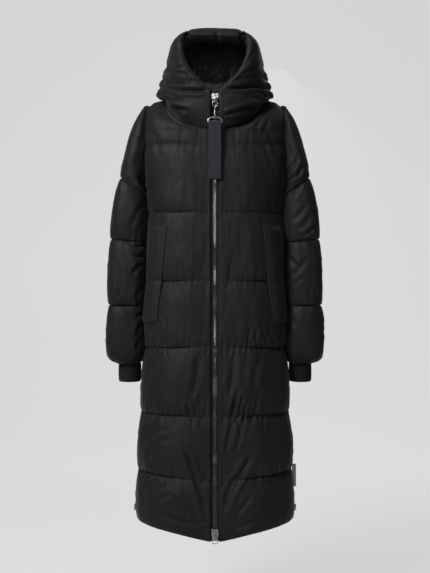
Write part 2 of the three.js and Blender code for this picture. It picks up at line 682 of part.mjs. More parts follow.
function hoodSide() {
  const outer = hood.face.map((line, i) => line.map((point, j) => {
    if (i === 0) return point.clone();
    const row = HOOD_ROWS[i - 1];
    const spread = Math.min(HOOD_TURNS[j] * HOOD_FOLD.spread, Math.PI);
    const fold = row.fold * Math.sin(spread) ** HOOD_FOLD.power;
    const isEdge = j === 0 && i > COLLAR_ROWS;
    const sink = isEdge ? HOOD_EDGE_SINK : fold;
    return point.clone().addScaledVector(hood.sideNormals[i][j], -sink);
  }));
  const inner = hood.face.map((line, i) => line.map((point, j) => {
    if (i === 0) return hood.neckInside[j].clone();
    const onSeam = i === hood.top || j === hood.last;
    const isEdge = j === 0 && i > COLLAR_ROWS;
    const rim = i === hood.top ? RIM_WALLS[j] ?? HOOD_SEAM_WALL : 0;
    const seam = Math.max(HOOD_SEAM_WALL, rim * RIM_SEAM_SHARE);
    const thick = onSeam ? seam : HOOD_ROWS[i - 1].fill;
    const edge = HOOD_EDGE_SINK + HOOD_EDGE_WALL;
    return point.clone().addScaledVector(hood.sideNormals[i][j], -(isEdge && !onSeam ? edge : thick));
  }));
  for (const grid of [outer, inner]) {
    grid.forEach((line, i) => line.forEach((point, j) => {
      if (i === hood.top || (j === hood.last && i > 0)) point.setX(point.x + CROWN_SEAM_SHIFT);
    }));
  }
  return facingOut(wall(outer, inner));
}

function hoodStrip() {
  const across = hood.strip[0].length - 1;
  const rows = hood.strip.length - 1;
  const rimWall = (k) => RIM_WALLS[k] ?? CROWN_WALL;
  const rimSink = (k) => RIM_SINKS[k] ?? 0;
  const outer = hood.strip.map((line, k) => line.map((point, c) => {
    const onSeam = c === 0 || c === across;
    const sink = onSeam || k === rows ? 0 : rimSink(k);
    return point.clone().addScaledVector(hood.stripNormals[k][c], -sink);
  }));
  const inner = hood.strip.map((line, k) => line.map((point, c) => {
    if (k === rows) {
      const w = Math.abs(c / STRIP_HALF_COLUMNS - 1);
      const edge = SIDE_NECK[SIDE_NECK.length - 1].inside;
      const chord = NAPE.inside.clone().lerp(edge, w);
      return vec(edge.x * (c / STRIP_HALF_COLUMNS - 1), chord.y, chord.z);
    }
    const onSeam = c === 0 || c === across;
    const rim = RIM_WALLS[k] ?? 0;
    const seam = Math.max(HOOD_SEAM_WALL, rim * RIM_SEAM_SHARE);
    return point.clone().addScaledVector(hood.stripNormals[k][c], -(onSeam ? seam : rimWall(k)));
  }));
  for (const grid of [outer, inner]) {
    grid.forEach((line) => {
      line[0].setX(line[0].x + CROWN_SEAM_SHIFT);
      line[across].setX(line[across].x - CROWN_SEAM_SHIFT);
    });
  }
  return facingOut(wall(outer, inner));
}

function addHood() {
  const side = hoodSide();
  addPiece('hood_left', side, 'shell');
  addPiece('hood_right', mirrored(side), 'shell');
  addPiece('hood_centre', hoodStrip(), 'shell');
}

// Zip

// The line of the zip from the hem to the top of the collar: the panels' inner front edges
function zipLine() {
  const points = [];
  const neckRow = UNDERARM_ROW + FRONT_NECK_STEP;
  for (let i = 0; i <= neckRow; i += 1) points.push(front.inner[i][0].clone());
  for (let i = 1; i <= COLLAR_ROWS; i += 1) {
    const edge = hood.face[i][0];
    points.push(edge.clone().addScaledVector(hood.sideNormals[i][0], -HOOD_ROWS[i - 1].fill));
  }
  return points.map((point) => ({ y: point.y, z: point.z }));
}

const ZIP_LINE = zipLine();

function zipDepthAt(z) {
  const upper = ZIP_LINE.findIndex((point) => point.z >= z);
  if (upper <= 0) return ZIP_LINE[upper === 0 ? 0 : ZIP_LINE.length - 1].y;
  const [a, b] = [ZIP_LINE[upper - 1], ZIP_LINE[upper]];
  return mix(a.y, b.y, (z - a.z) / (b.z - a.z));
}

function backOfPanel(x) {
  return TAPE.clear + TAPE.slope * Math.max(0, Math.abs(x) - ZIP_OPENING_HALF);
}

// A strip that follows the zip: its columns and how far each face lies behind the zip line
function zipStrip(columns, line, faceOf, thick) {
  const outer = line.map((point) => columns.map((x) => vec(x, point.y + faceOf(x), point.z)));
  const inner = line.map((point) => columns.map((x) => vec(x, point.y + faceOf(x) + thick, point.z)));
  return facingOut(wall(outer, inner));
}

function lineBetween(low, high) {
  const isInside = (point) => point.z > low + ZIP_ROW_CLEAR && point.z < high - ZIP_ROW_CLEAR;
  const inside = ZIP_LINE.filter(isInside);
  return [{ y: zipDepthAt(low), z: low }, ...inside, { y: zipDepthAt(high), z: high }];
}

const ZIP_BOTTOM = ZIP_LINE[0].z;
const ZIP_TOP = ZIP_LINE[ZIP_LINE.length - 1].z;

function addZip() {
  const tape = zipStrip(
    [TAPE.innerX, ZIP_OPENING_HALF, TAPE.outerX],
    lineBetween(ZIP_BOTTOM, ZIP_TOP),
    backOfPanel,
    TAPE.thick,
  );
  addPiece('zip_tape_left', tape, 'tape');
  addPiece('zip_tape_right', mirrored(tape), 'tape');
  const chainLine = lineBetween(LOW_SLIDER_LOW + SLIDER.height + SEAM_GAP, TOP_SLIDER_LOW - SEAM_GAP);
  const chainFace = () => TAPE.clear - SEAM_GAP - CHAIN.thick;
  const chain = zipStrip([-CHAIN.half, CHAIN.half], chainLine, chainFace, CHAIN.thick);
  addPiece('zip_chain', chain, 'gunmetal');
}

function addStormFlap() {
  const behind = (x) => backOfPanel(x) + TAPE.thick + FLAP.clear;
  const flapLine = lineBetween(ZIP_BOTTOM + FLAP.below, ZIP_TOP);
  const columns = [-FLAP.half, -TAPE.outerX, 0, TAPE.outerX, FLAP.half];
  const rowPoints = (point, extra) => columns.map((x) => vec(x, point.y + behind(x) + extra, point.z));
  const outer = flapLine.map((point) => rowPoints(point, 0));
  const inner = flapLine.map((point) => rowPoints(point, FLAP.wall));
  const topRow = (extra) => columns.map((x) => {
    const widen = Math.abs(x) > TAPE.outerX ? (FLAP.topHalf / FLAP.half) : 1;
    const z = mix(FLAP.top, FLAP.topSides, Math.abs(x) / FLAP.half);
    return vec(x * widen, zipDepthAt(ZIP_TOP) + behind(x) + FLAP.topLean + extra, z);
  });
  outer.push(topRow(0));
  inner.push(topRow(FLAP.wall));
  addPiece('storm_flap', facingOut(wall(outer, inner)), 'shell');
}

// Sliders and pulls

// A closed wire in an upright plane: points are [across, up], seen from the front
function wireLoop(points, radius, sides) {
  const count = points.length;
  const grid = [];
  for (let k = 0; k < count; k += 1) {
    const [x, z] = points[k];
    const [nextX, nextZ] = points[(k + 1) % count];
    const [lastX, lastZ] = points[(k + count - 1) % count];
    const forward = new THREE.Vector2(nextX - lastX, nextZ - lastZ).normalize();
    const ring = [];
    for (let s = 0; s < sides; s += 1) {
      const angle = (2 * Math.PI * s) / sides;
      const out = radius * Math.cos(angle);
      ring.push(vec(x + forward.y * out, radius * Math.sin(angle), z - forward.x * out));
    }
    grid.push(ring);
  }
  const positions = grid.flat().flatMap((point) => [point.x, point.y, point.z]);
  const index = [];
  for (let k = 0; k < count; k += 1) {
    for (let s = 0; s < sides; s += 1) {
      const a = k * sides + s;
      const b = k * sides + ((s + 1) % sides);
      const c = ((k + 1) % count) * sides + ((s + 1) % sides);
      const d = ((k + 1) % count) * sides + s;
      index.push(a, b, c, a, c, d);
    }
  }
  const geometry = new THREE.BufferGeometry();
  geometry.setAttribute('position', new THREE.Float32BufferAttribute(positions, 3));
  geometry.setIndex(index);
  return facingOut(geometry);
}

function roundLoop(radius, wire, count, sides) {
  const points = Array.from({ length: count }, (unused, k) => {
    const angle = (2 * Math.PI * k) / count;
    return [radius * Math.cos(angle), radius * Math.sin(angle)];
  });
  return wireLoop(points, wire, sides);
}

// Slider body with its bridge for the pull; its back lies on the tapes
function sliderGeometry() {
  const { half, waist, height, thick } = SLIDER;
  const outline = new THREE.Shape();
  outline.moveTo(-waist, 0);
  outline.lineTo(waist, 0);
  const { shoulder, crown, lobeX, lobe, notch, sides } = SLIDER_OUTLINE;
  outline.lineTo(half, height * shoulder);
  outline.lineTo(half, height * crown);
  outline.quadraticCurveTo(half * lobeX, height * lobe, 0, height * notch);
  outline.quadraticCurveTo(-half * lobeX, height * lobe, -half, height * crown);
  outline.lineTo(-half, height * shoulder);
  outline.closePath();
  const plate = { depth: thick, bevelEnabled: false, curveSegments: sides };
  const body = new THREE.ExtrudeGeometry(outline, plate);
  body.rotateX(QUARTER);
  const bevel = BAIL.rise * BAIL.bevel;
  const bevelInside = bevel - BAIL.wire / 2;
  const riseInside = BAIL.rise - BAIL.wire;
  const { low, high, head, lowInside, highInside, thin, headThin } = BAIL_CORNERS;
  const arch = new THREE.Shape();
  arch.moveTo(0, 0);
  arch.lineTo(bevel, 0);
  arch.lineTo(BAIL.rise, low);
  arch.lineTo(BAIL.rise, BAIL.height - high);
  arch.lineTo(bevel, BAIL.height - head);
  arch.lineTo(0, BAIL.height);
  arch.closePath();
  const opening = new THREE.Path();
  opening.moveTo(BAIL.foot, BAIL.wire - thin);
  opening.lineTo(BAIL.foot, BAIL.height - BAIL.wire);
  opening.lineTo(bevelInside, BAIL.height - BAIL.wire - headThin);
  opening.lineTo(riseInside, BAIL.height - highInside);
  opening.lineTo(riseInside, lowInside);
  opening.lineTo(bevelInside, BAIL.wire - thin);
  opening.closePath();
  arch.holes.push(opening);
  const bridge = new THREE.ExtrudeGeometry(arch, { depth: 2 * BAIL.half, bevelEnabled: false });
  bridge.translate(0, 0, -BAIL.half);
  bridge.rotateZ(-QUARTER);
  bridge.rotateY(-QUARTER);
  return { body, bridge };
}

// Places a slider made in its own frame: bridge at the front, foot of the body at height z
function placedSlider(z) {
  const { body, bridge } = sliderGeometry();
  const y = Math.min(zipDepthAt(z), zipDepthAt(z + SLIDER.height)) + TAPE.clear - SEAM_GAP;
  body.computeBoundingBox();
  body.translate(0, -body.boundingBox.max.y, -body.boundingBox.min.z);
  bridge.computeBoundingBox();
  const span = bridge.boundingBox;
  const middle = (span.min.x + span.max.x) / 2;
  bridge.translate(-middle, -span.max.y - SLIDER.thick + BAIL.sink, -span.min.z);
  const whole = joined(body, bridge);
  whole.translate(0, y, z);
  return { geometry: whole, faceY: y - SLIDER.thick };
}

const topSlider = placedSlider(TOP_SLIDER_LOW);
const lowSlider = placedSlider(LOW_SLIDER_LOW);
const PULL_Y = topSlider.faceY - PULL_LAY;
const LOW_PULL_Y = lowSlider.faceY - PULL_LAY;

// The strap hangs in front of the fullest point of the chest and collar
const STRAP_Y = Math.min(PULL_Y, hood.face[FULLEST_COLLAR_ROW][0].y - STRAP_CLEAR);

function hookGeometry() {
  const ringLow = PULL_RING.z - PULL_RING.radius;
  const wire = HOOK_ROUTE.map(({ x, back: towardsBack, share, up }) => {
    const y = mix(PULL_Y + towardsBack, STRAP_Y, share);
    return vec(x, y, ringLow + up);
  });
  wire.push(vec(0, STRAP_Y, SWIVEL_BALL.z + SWIVEL_BALL.radius * SWIVEL_BALL.seat));
  const section = new THREE.Shape();
  section.absarc(0, 0, HOOK_WIRE, 0, 2 * Math.PI);
  return new THREE.ExtrudeGeometry(section, {
    steps: HOOK_MESH.steps,
    extrudePath: new THREE.CatmullRomCurve3(wire),
    curveSegments: HOOK_MESH.sides,
  });
}

function swivelGeometry() {
  const { radius, z, neck, eyeZ, eyeRadius, foot } = SWIVEL_BALL;
  const profile = [new THREE.Vector2(0, radius)];
  for (let k = 1; k <= BALL_MESH.rings; k += 1) {
    const angle = (Math.PI * k) / BALL_MESH.arcs;
    profile.push(new THREE.Vector2(radius * Math.sin(angle), radius * Math.cos(angle)));
  }
  const stemLow = eyeZ + eyeRadius + HOOK_WIRE / 2 - z;
  profile.push(new THREE.Vector2(neck, -radius * foot));
  profile.push(new THREE.Vector2(neck, stemLow));
  profile.push(new THREE.Vector2(0, stemLow));
  profile.reverse();
  const ball = new THREE.LatheGeometry(profile, BALL_MESH.sides);
  ball.rotateX(QUARTER);
  ball.translate(0, STRAP_Y, z);
  const eye = roundLoop(eyeRadius, HOOK_WIRE, EYE_COUNT, RING_MESH.sides);
  eye.rotateZ(QUARTER);
  eye.translate(0, STRAP_Y, eyeZ);
  return { ball, eye };
}

function halfRingPoints() {
  const { halfX, topZ, barZ, power, arcs, spans } = HALF_RING;
  const points = [];
  for (let k = 0; k <= arcs; k += 1) {
    const angle = (Math.PI * k) / arcs;
    points.push([halfX * Math.cos(angle), mix(barZ, topZ, Math.sin(angle) ** power)]);
  }
  for (let k = 1; k < spans; k += 1) points.push([mix(-halfX, halfX, k / spans), barZ]);
  return points;
}

// Webbing folded round the bar of the half ring and sewn flat to itself below
function strapGeometry() {
  const bar = HALF_RING.wire + SEAM_GAP;
  const loop = bar + STRAP.around;
  const outline = new THREE.Shape();
  const neckZ = HALF_RING.barZ - loop * STRAP.neck;
  const halfThick = STRAP.thick / 2;
  outline.absarc(0, HALF_RING.barZ, loop, 0, Math.PI);
  outline.lineTo(-halfThick, neckZ);
  outline.lineTo(-halfThick, STRAP.low);
  outline.lineTo(halfThick, STRAP.low);
  outline.lineTo(halfThick, neckZ);
  outline.closePath();
  const tunnel = new THREE.Path();
  tunnel.absarc(0, HALF_RING.barZ, bar, 0, 2 * Math.PI, true);
  outline.holes.push(tunnel);
  const strap = new THREE.ExtrudeGeometry(outline, {
    depth: 2 * STRAP.half,
    bevelEnabled: false,
    curveSegments: STRAP.sides,
  });
  strap.translate(0, 0, -STRAP.half);
  strap.rotateX(QUARTER);
  strap.rotateZ(QUARTER);
  strap.translate(0, STRAP_Y, 0);
  return strap;
}

function addHardware() {
  addPiece('top_slider', topSlider.geometry, 'silver');
  addPiece('bottom_slider', lowSlider.geometry, 'gunmetal');
  const ring = roundLoop(PULL_RING.radius, PULL_RING.wire, RING_MESH.count, RING_MESH.sides);
  ring.translate(0, PULL_Y, PULL_RING.z);
  addPiece('pull_ring', ring, 'silver');
  const { ball, eye } = swivelGeometry();
  addPiece('pull_hook', joined(hookGeometry(), ball, eye), 'silver');
  const halfRing = wireLoop(halfRingPoints(), HALF_RING.wire, HALF_RING_SIDES);
  halfRing.translate(0, STRAP_Y, 0);
  addPiece('half_ring', halfRing, 'silver');
  addPiece('strap', strapGeometry(), 'webbing');
  const lowRing = roundLoop(LOW_RING.radius, LOW_RING.wire, RING_MESH.count, RING_MESH.sides);
  lowRing.translate(0, LOW_PULL_Y, LOW_RING.z);
  addPiece('bottom_pull', lowRing, 'gunmetal');
}

// Pockets, studs and tab

// A point of a panel's outer face and its normal, between the grid's points
function skinAt(panel, part, line) {
  const rowUp = BODY_ROWS.findIndex((row) => row.line >= line);
  const [a, b] = [BODY_ROWS[rowUp - 1], BODY_ROWS[rowUp]];
  const t = (line - a.line) / (b.line - a.line);
  const j = Math.max(1, panel.parts.findIndex((value) => value >= part));
  const s = (part - panel.parts[j - 1]) / (panel.parts[j] - panel.parts[j - 1]);
  const blend = (grid) => {
    const low = grid[rowUp - 1][j - 1].clone().lerp(grid[rowUp - 1][j], s);
    const high = grid[rowUp][j - 1].clone().lerp(grid[rowUp][j], s);
    return low.lerp(high, t);
  };
  return { point: blend(panel.outer), normal: blend(panel.normals).normalize() };
}

function weltGeometry() {
  const { lines, topU, lowU } = WELT;
  const columns = WELT_WALL.columns;
  const outer = [];
  const inner = [];
  lines.forEach((line, i) => {
    const t = i / (lines.length - 1);
    const bend = 1 - smooth((t - WELT_BEND.from) / WELT_BEND.reach);
    const from = mix(topU[0], lowU[0], bend);
    const to = mix(topU[1], lowU[1], bend);
    const partAt = (j) => mix(from, to, j / columns);
    const skin = Array.from({ length: columns + 1 }, (unused, j) => skinAt(front, partAt(j), line));
    const hollow = BODY_FILL * WELT_WALL.hollowShare * (1 - puff(line - Math.floor(line)));
    inner.push(skin.map(({ point, normal }) => point.clone().addScaledVector(normal, WELT_WALL.lift)));
    outer.push(skin.map(({ point, normal }, j) => {
      const onEdge = i === 0 || i === lines.length - 1 || j === 0 || j === columns;
      const thick = (onEdge ? WELT_WALL.edge : WELT_WALL.middle) + hollow;
      return point.clone().addScaledVector(normal, WELT_WALL.lift + thick);
    }));
  });
  return facingOut(wall(outer, inner));
}

function addTrims() {
  const welt = weltGeometry();
  addPiece('pocket_welt_left', welt, 'shell');
  addPiece('pocket_welt_right', mirrored(welt), 'shell');

  const { point, normal } = skinAt(front, STUD.u, STUD.v);
  const stud = new THREE.CylinderGeometry(STUD.radius, STUD.radius, STUD.thick, STUD.sides);
  stud.applyQuaternion(new THREE.Quaternion().setFromUnitVectors(vec(0, 1, 0), normal));
  const seat = point.clone().addScaledVector(normal, STUD.thick / 2 + STUD.lift);
  stud.translate(seat.x, seat.y, seat.z);
  addPiece('press_stud_left', stud, 'gunmetal');
  addPiece('press_stud_right', mirrored(stud), 'gunmetal');

  const widest = Math.max(...TAB.lines.map((line) => skinAt(front, 1, line).point.x));
  const tab = new THREE.BoxGeometry(TAB.out, TAB.thick, TAB.high - TAB.low);
  tab.translate(widest + SEAM_GAP + TAB.out / 2, 0, (TAB.high + TAB.low) / 2);
  addPiece('side_tab', tab, 'label');
}

addBody();
addSleeves();
addHood();
addZip();
addStormFlap();
addHardware();
addTrims();

export default coat;
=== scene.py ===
"""Looks of a long hooded puffer coat: quilted shells, lining, knit cuffs, zip, pulls and trims.

The frame is the coat's own: +Z up, the front faces -Y, the wearer's left side is +X.
Shapes are worked out in millimetres and put into Blender in metres.
"""

import logging
import math
from dataclasses import dataclass, field
from enum import Enum

import bpy
import numpy as np
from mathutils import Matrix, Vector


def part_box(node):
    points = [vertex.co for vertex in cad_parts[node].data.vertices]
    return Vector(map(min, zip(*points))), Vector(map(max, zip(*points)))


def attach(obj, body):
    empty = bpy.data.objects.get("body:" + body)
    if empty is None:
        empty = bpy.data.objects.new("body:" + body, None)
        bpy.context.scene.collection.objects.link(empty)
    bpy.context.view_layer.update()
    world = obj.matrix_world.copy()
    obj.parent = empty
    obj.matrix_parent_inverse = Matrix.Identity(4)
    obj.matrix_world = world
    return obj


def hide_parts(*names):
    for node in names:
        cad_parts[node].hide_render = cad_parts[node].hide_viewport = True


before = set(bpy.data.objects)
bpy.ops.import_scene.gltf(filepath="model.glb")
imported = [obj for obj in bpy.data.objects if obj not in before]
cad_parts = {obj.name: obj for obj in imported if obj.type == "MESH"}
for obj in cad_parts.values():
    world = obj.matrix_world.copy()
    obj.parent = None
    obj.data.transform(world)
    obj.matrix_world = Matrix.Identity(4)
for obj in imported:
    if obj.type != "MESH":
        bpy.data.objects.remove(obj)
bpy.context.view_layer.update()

logging.basicConfig(level=logging.INFO, format="%(message)s")
LOG = logging.getLogger("coat")

Array = np.ndarray
Material = bpy.types.Material
Socket = bpy.types.NodeSocket
Color = tuple[float, float, float]
MM = 0.001
QUARTER = math.pi / 2
# In millimetres: the camera's distance and height, and what one pixel of the photograph measures
EYE_DISTANCE = 3100.0
EYE_HEIGHT = -477.0
PICTURE_PITCH = 2.6
# In pixels of the photograph: its middle column, and the row that the origin lies on
PICTURE_MIDDLE = 215.0
PICTURE_ORIGIN_LINE = 103.0
COAT = "coat"
BLOCKS = ("hem", "waist", "chest")


# Numbers, curves and unevenness


def mix(a: Array | float, b: Array | float, t: Array | float) -> Array | float:
    """Value between a and b at share t."""
    return a + (b - a) * t


def smooth(t: Array | float) -> Array:
    """Share t held to 0..1 and eased at both ends."""
    t = np.clip(t, 0.0, 1.0)
    return t * t * (3.0 - 2.0 * t)


def catmull(rows: Array, place: Array | float) -> Array:
    """Reads a table between its rows, on a smooth curve through them.

    Args:
        rows: the table, its rows along the first axis.
        place: fractional row numbers.

    Returns:
        One row of values for each place.
    """
    place = np.atleast_1d(np.asarray(place, float))
    last = len(rows) - 1
    low = np.clip(np.floor(place).astype(int), 0, last - 1)
    t = (place - low).reshape((-1,) + (1,) * (rows.ndim - 1))
    a, b, c, d = (rows[np.clip(low + k, 0, last)] for k in (-1, 0, 1, 2))
    bend = (2 * a - 5 * b + 4 * c - d) * t**2 + (3 * b - a - 3 * c + d) * t**3
    return b + 0.5 * ((c - a) * t + bend)


def unit(vectors: Array) -> Array:
    """The vectors at length 1."""
    return vectors / np.maximum(np.linalg.norm(vectors, axis=-1, keepdims=True), 1e-9)


def grid_normals(grid: Array, turn: float = 1.0, closed: bool = False) -> Array:
    """Unit normals of a grid of points.

    Args:
        grid: rows x columns x 3 points.
        turn: 1 or -1, so that the normals point out of the coat.
        closed: whether the last column joins the first.

    Returns:
        A grid of unit vectors.
    """
    across = np.roll(grid, -1, 1) - np.roll(grid, 1, 1) if closed else np.gradient(grid, axis=1)
    return unit(np.cross(across, np.gradient(grid, axis=0))) * turn


def lengths(grid: Array, axis: int) -> Array:
    """Distance run along one axis of a grid of points, from its first row or column.

    Args:
        grid: rows x columns x 3 points.
        axis: 0 up the columns or 1 along the rows.

    Returns:
        A distance for each point.
    """
    steps = np.linalg.norm(np.diff(grid, axis=axis), axis=-1)
    pad = [(0, 0), (0, 0)]
    pad[axis] = (1, 0)
    return np.cumsum(np.pad(steps, pad), axis=axis)


def seen(column: float, line: float, depth: float = 140.0) -> tuple[float, float]:
    """Where a spot of the front view lies on the coat.

    Args:
        column: place across the picture, counted from its left edge.
        line: place down the picture, counted from its top edge.
        depth: how far the spot lies in front of the middle plane.

    Returns:
        Its x and z.
    """
    share = (EYE_DISTANCE - depth) / EYE_DISTANCE
    up = (PICTURE_ORIGIN_LINE - line) * PICTURE_PITCH
    return (column - PICTURE_MIDDLE) * PICTURE_PITCH * share, EYE_HEIGHT + (up - EYE_HEIGHT) * share


class Unevenness:
    """Smooth repeatable unevenness over a plane, from -1 to 1."""

    def __init__(self, seed: int, cells: int = 64) -> None:
        """Fills the lattice from a seed."""
        self.cells = cells
        self.lattice = np.random.default_rng(seed).uniform(-1, 1, (cells, cells))

    def at(self, across: Array, up: Array) -> Array:
        """One layer of unevenness, with a lattice cell for each unit.

        Args:
            across: places across.
            up: places up.

        Returns:
            A value or point for each place.
        """
        i, j = np.floor(across).astype(int), np.floor(up).astype(int)
        s, t = smooth(across - i), smooth(up - j)
        n = self.cells
        low = mix(self.lattice[i % n, j % n], self.lattice[(i + 1) % n, j % n], s)
        high = mix(self.lattice[i % n, (j + 1) % n], self.lattice[(i + 1) % n, (j + 1) % n], s)
        return mix(low, high, t)

    def rough(self, across: Array, up: Array, layers: int = 3) -> Array:
        """Several layers, each half as large and half as deep as the one before."""
        total = sum(self.at(across * 2**k + 7 * k, up * 2**k + 13 * k) / 2**k for k in range(layers))
        return total / 1.5

    def crumple(self, across: Array, up: Array) -> Array:
        """Sharp folds between flat facets, from 0 to about 1."""
        return np.abs(self.at(across, up)) + 0.5 * np.abs(self.at(across * 1.9 + 5, up * 1.9 + 3))


class Side(Enum):
    """The side of the coat that a crease is drawn on."""

    FRONT = (0.0, -1.0)
    BACK = (0.0, 1.0)
    LEFT = (1.0, 0.0)
    RIGHT = (-1.0, 0.0)

    def plane(self, points: Array) -> tuple[Array, Array]:
        """The points' places across and up in a view of this side."""
        across = points[..., 0] if self.value[0] == 0 else points[..., 1]
        return across, points[..., 2]

    def facing(self, normals: Array) -> Array:
        """How far each normal faces this side, from 0 to 1."""
        return smooth((normals[..., 0] * self.value[0] + normals[..., 1] * self.value[1]) / 0.6)


@dataclass(frozen=True)
class Crease:
    """A soft trough in the cloth with raised lips, drawn as a line on one side of the coat."""

    path: tuple[tuple[float, float], ...]
    depth: float = 3.0
    width: float = 5.0
    lip: float = 0.5
    side: Side = Side.FRONT
    steps: int = 14

    def relief(self, points: Array, normals: Array) -> Array:
        """How far the crease moves each point along its normal, in millimetres.

        Args:
            points: the surface's points.
            normals: its unit normals.

        Returns:
            A distance for each point.
        """
        line = catmull(np.array(self.path, float), np.linspace(0, len(self.path) - 1, self.steps))
        across, up = self.side.plane(points)
        reach = 4.5 * self.width
        low, high = line.min(0) - reach, line.max(0) + reach
        near = (across > low[0]) & (across < high[0]) & (up > low[1]) & (up < high[1])
        moved = np.zeros(across.shape)
        if not near.any():
            return moved
        spots = np.stack([across[near], up[near]], -1)
        best, share = np.full(len(spots), 1e9), np.zeros(len(spots))
        for k in range(self.steps - 1):
            a, run = line[k], line[k + 1] - line[k]
            t = np.clip((spots - a) @ run / max(run @ run, 1e-9), 0, 1)
            distance = np.linalg.norm(spots - a - t[:, None] * run, axis=1)
            closer = distance < best
            best = np.where(closer, distance, best)
            share = np.where(closer, (k + t) / (self.steps - 1), share)
        q = best / self.width
        fade = smooth(share / 0.22) * smooth((1 - share) / 0.22)
        shape = self.lip * np.exp(-(((q - 2.2) / 1.25) ** 2)) - np.exp(-(q**1.5))
        moved[near] = self.depth * shape * fade
        return moved * self.side.facing(normals)


@dataclass(frozen=True)
class Gathers:
    """Small folds that run out from a sewn line, uneven in length, depth and spacing."""

    depth: float = 1.6
    above: float = 34.0
    below: float = 14.0
    pitch: float = 15.0
    lean: float = 0.3
    seed: int = 1

    def relief(self, run: Array, rise: Array) -> Array:
        """How far the folds move each point, from places along the line and distances above it.

        Args:
            run: places along the sewn line.
            rise: distances above it.

        Returns:
            A distance for each point.
        """
        rng = np.random.default_rng(self.seed)
        total = np.zeros(run.shape)
        place = run.min() - rng.uniform(0, self.pitch)
        while place < run.max() + self.pitch:
            width = self.pitch * rng.uniform(0.17, 0.34)
            above, below = self.above * rng.uniform(0.3, 1.5), self.below * rng.uniform(0.4, 1.5)
            depth, lean = self.depth * rng.uniform(0.2, 1.35), self.lean * rng.uniform(-1, 1)
            near = np.abs(rise) / np.where(rise > 0, above, below)
            spread = width * (1 + 0.7 * near)
            fold = np.exp(-(((run - place - lean * rise) / spread) ** 2) - near**1.7)
            total -= depth * fold
            place += self.pitch * rng.uniform(0.55, 1.6)
        return total


# Meshes


@dataclass(frozen=True)
class Roll:
    """How far each edge of a wall of cloth rounds out past its points, in millimetres."""

    bottom: float = 0.4
    top: float = 0.4
    start: float | Array = 0.4
    end: float = 0.4


@dataclass
class Skin:
    """Faces with the cloth's own flat coordinates and the number of each face's finish."""

    points: Array
    faces: Array
    flat: Array
    finish: Array

    def mirrored(self) -> "Skin":
        """The same skin for the other side of the coat."""
        points = self.points * np.array([-1.0, 1.0, 1.0])
        return Skin(points, self.faces[:, ::-1], self.flat[:, ::-1], self.finish)

    def on_side(self, sign: int) -> "Skin":
        """The skin as drawn on the wearer's left (1), or mirrored on the right (-1)."""
        return self if sign > 0 else self.mirrored()

    def joined(self, other: "Skin") -> "Skin":
        """This skin and another as one.

        Args:
            other: the skin to add.

        Returns:
            The joined skin.
        """
        return Skin(
            np.concatenate([self.points, other.points]),
            np.concatenate([self.faces, other.faces + len(self.points)]),
            np.concatenate([self.flat, other.flat]),
            np.concatenate([self.finish, other.finish]),
        )


def together(skins: list[Skin]) -> Skin:
    """Several skins as one.

    Args:
        skins: the skins.

    Returns:
        One skin.
    """
    whole = skins[0]
    for skin in skins[1:]:
        whole = whole.joined(skin)
    return whole


def read_at(table: Array, run: Array, at: Array) -> Array:
    """Points of a table read at places along their run."""
    return np.stack([np.interp(at, run, table[:, c]) for c in range(3)], -1)


def rim_loops(rows: int, columns: int, closed: bool) -> list[list[tuple[int, int]]]:
    """The grid places round the open edges of a wall, in order.

    Args:
        rows: rows of the grid.
        columns: columns of the grid.
        closed: whether the last column joins the first.

    Returns:
        One loop of (row, column) places for each edge.
    """
    if closed:
        bottom = [(0, j) for j in range(columns)]
        return [bottom, [(rows - 1, j) for j in reversed(range(columns))]]
    loop = [(0, j) for j in range(columns - 1)] + [(i, columns - 1) for i in range(rows - 1)]
    loop += [(rows - 1, j) for j in range(columns - 1, 0, -1)] + [(i, 0) for i in range(rows - 1, 0, -1)]
    return [loop]


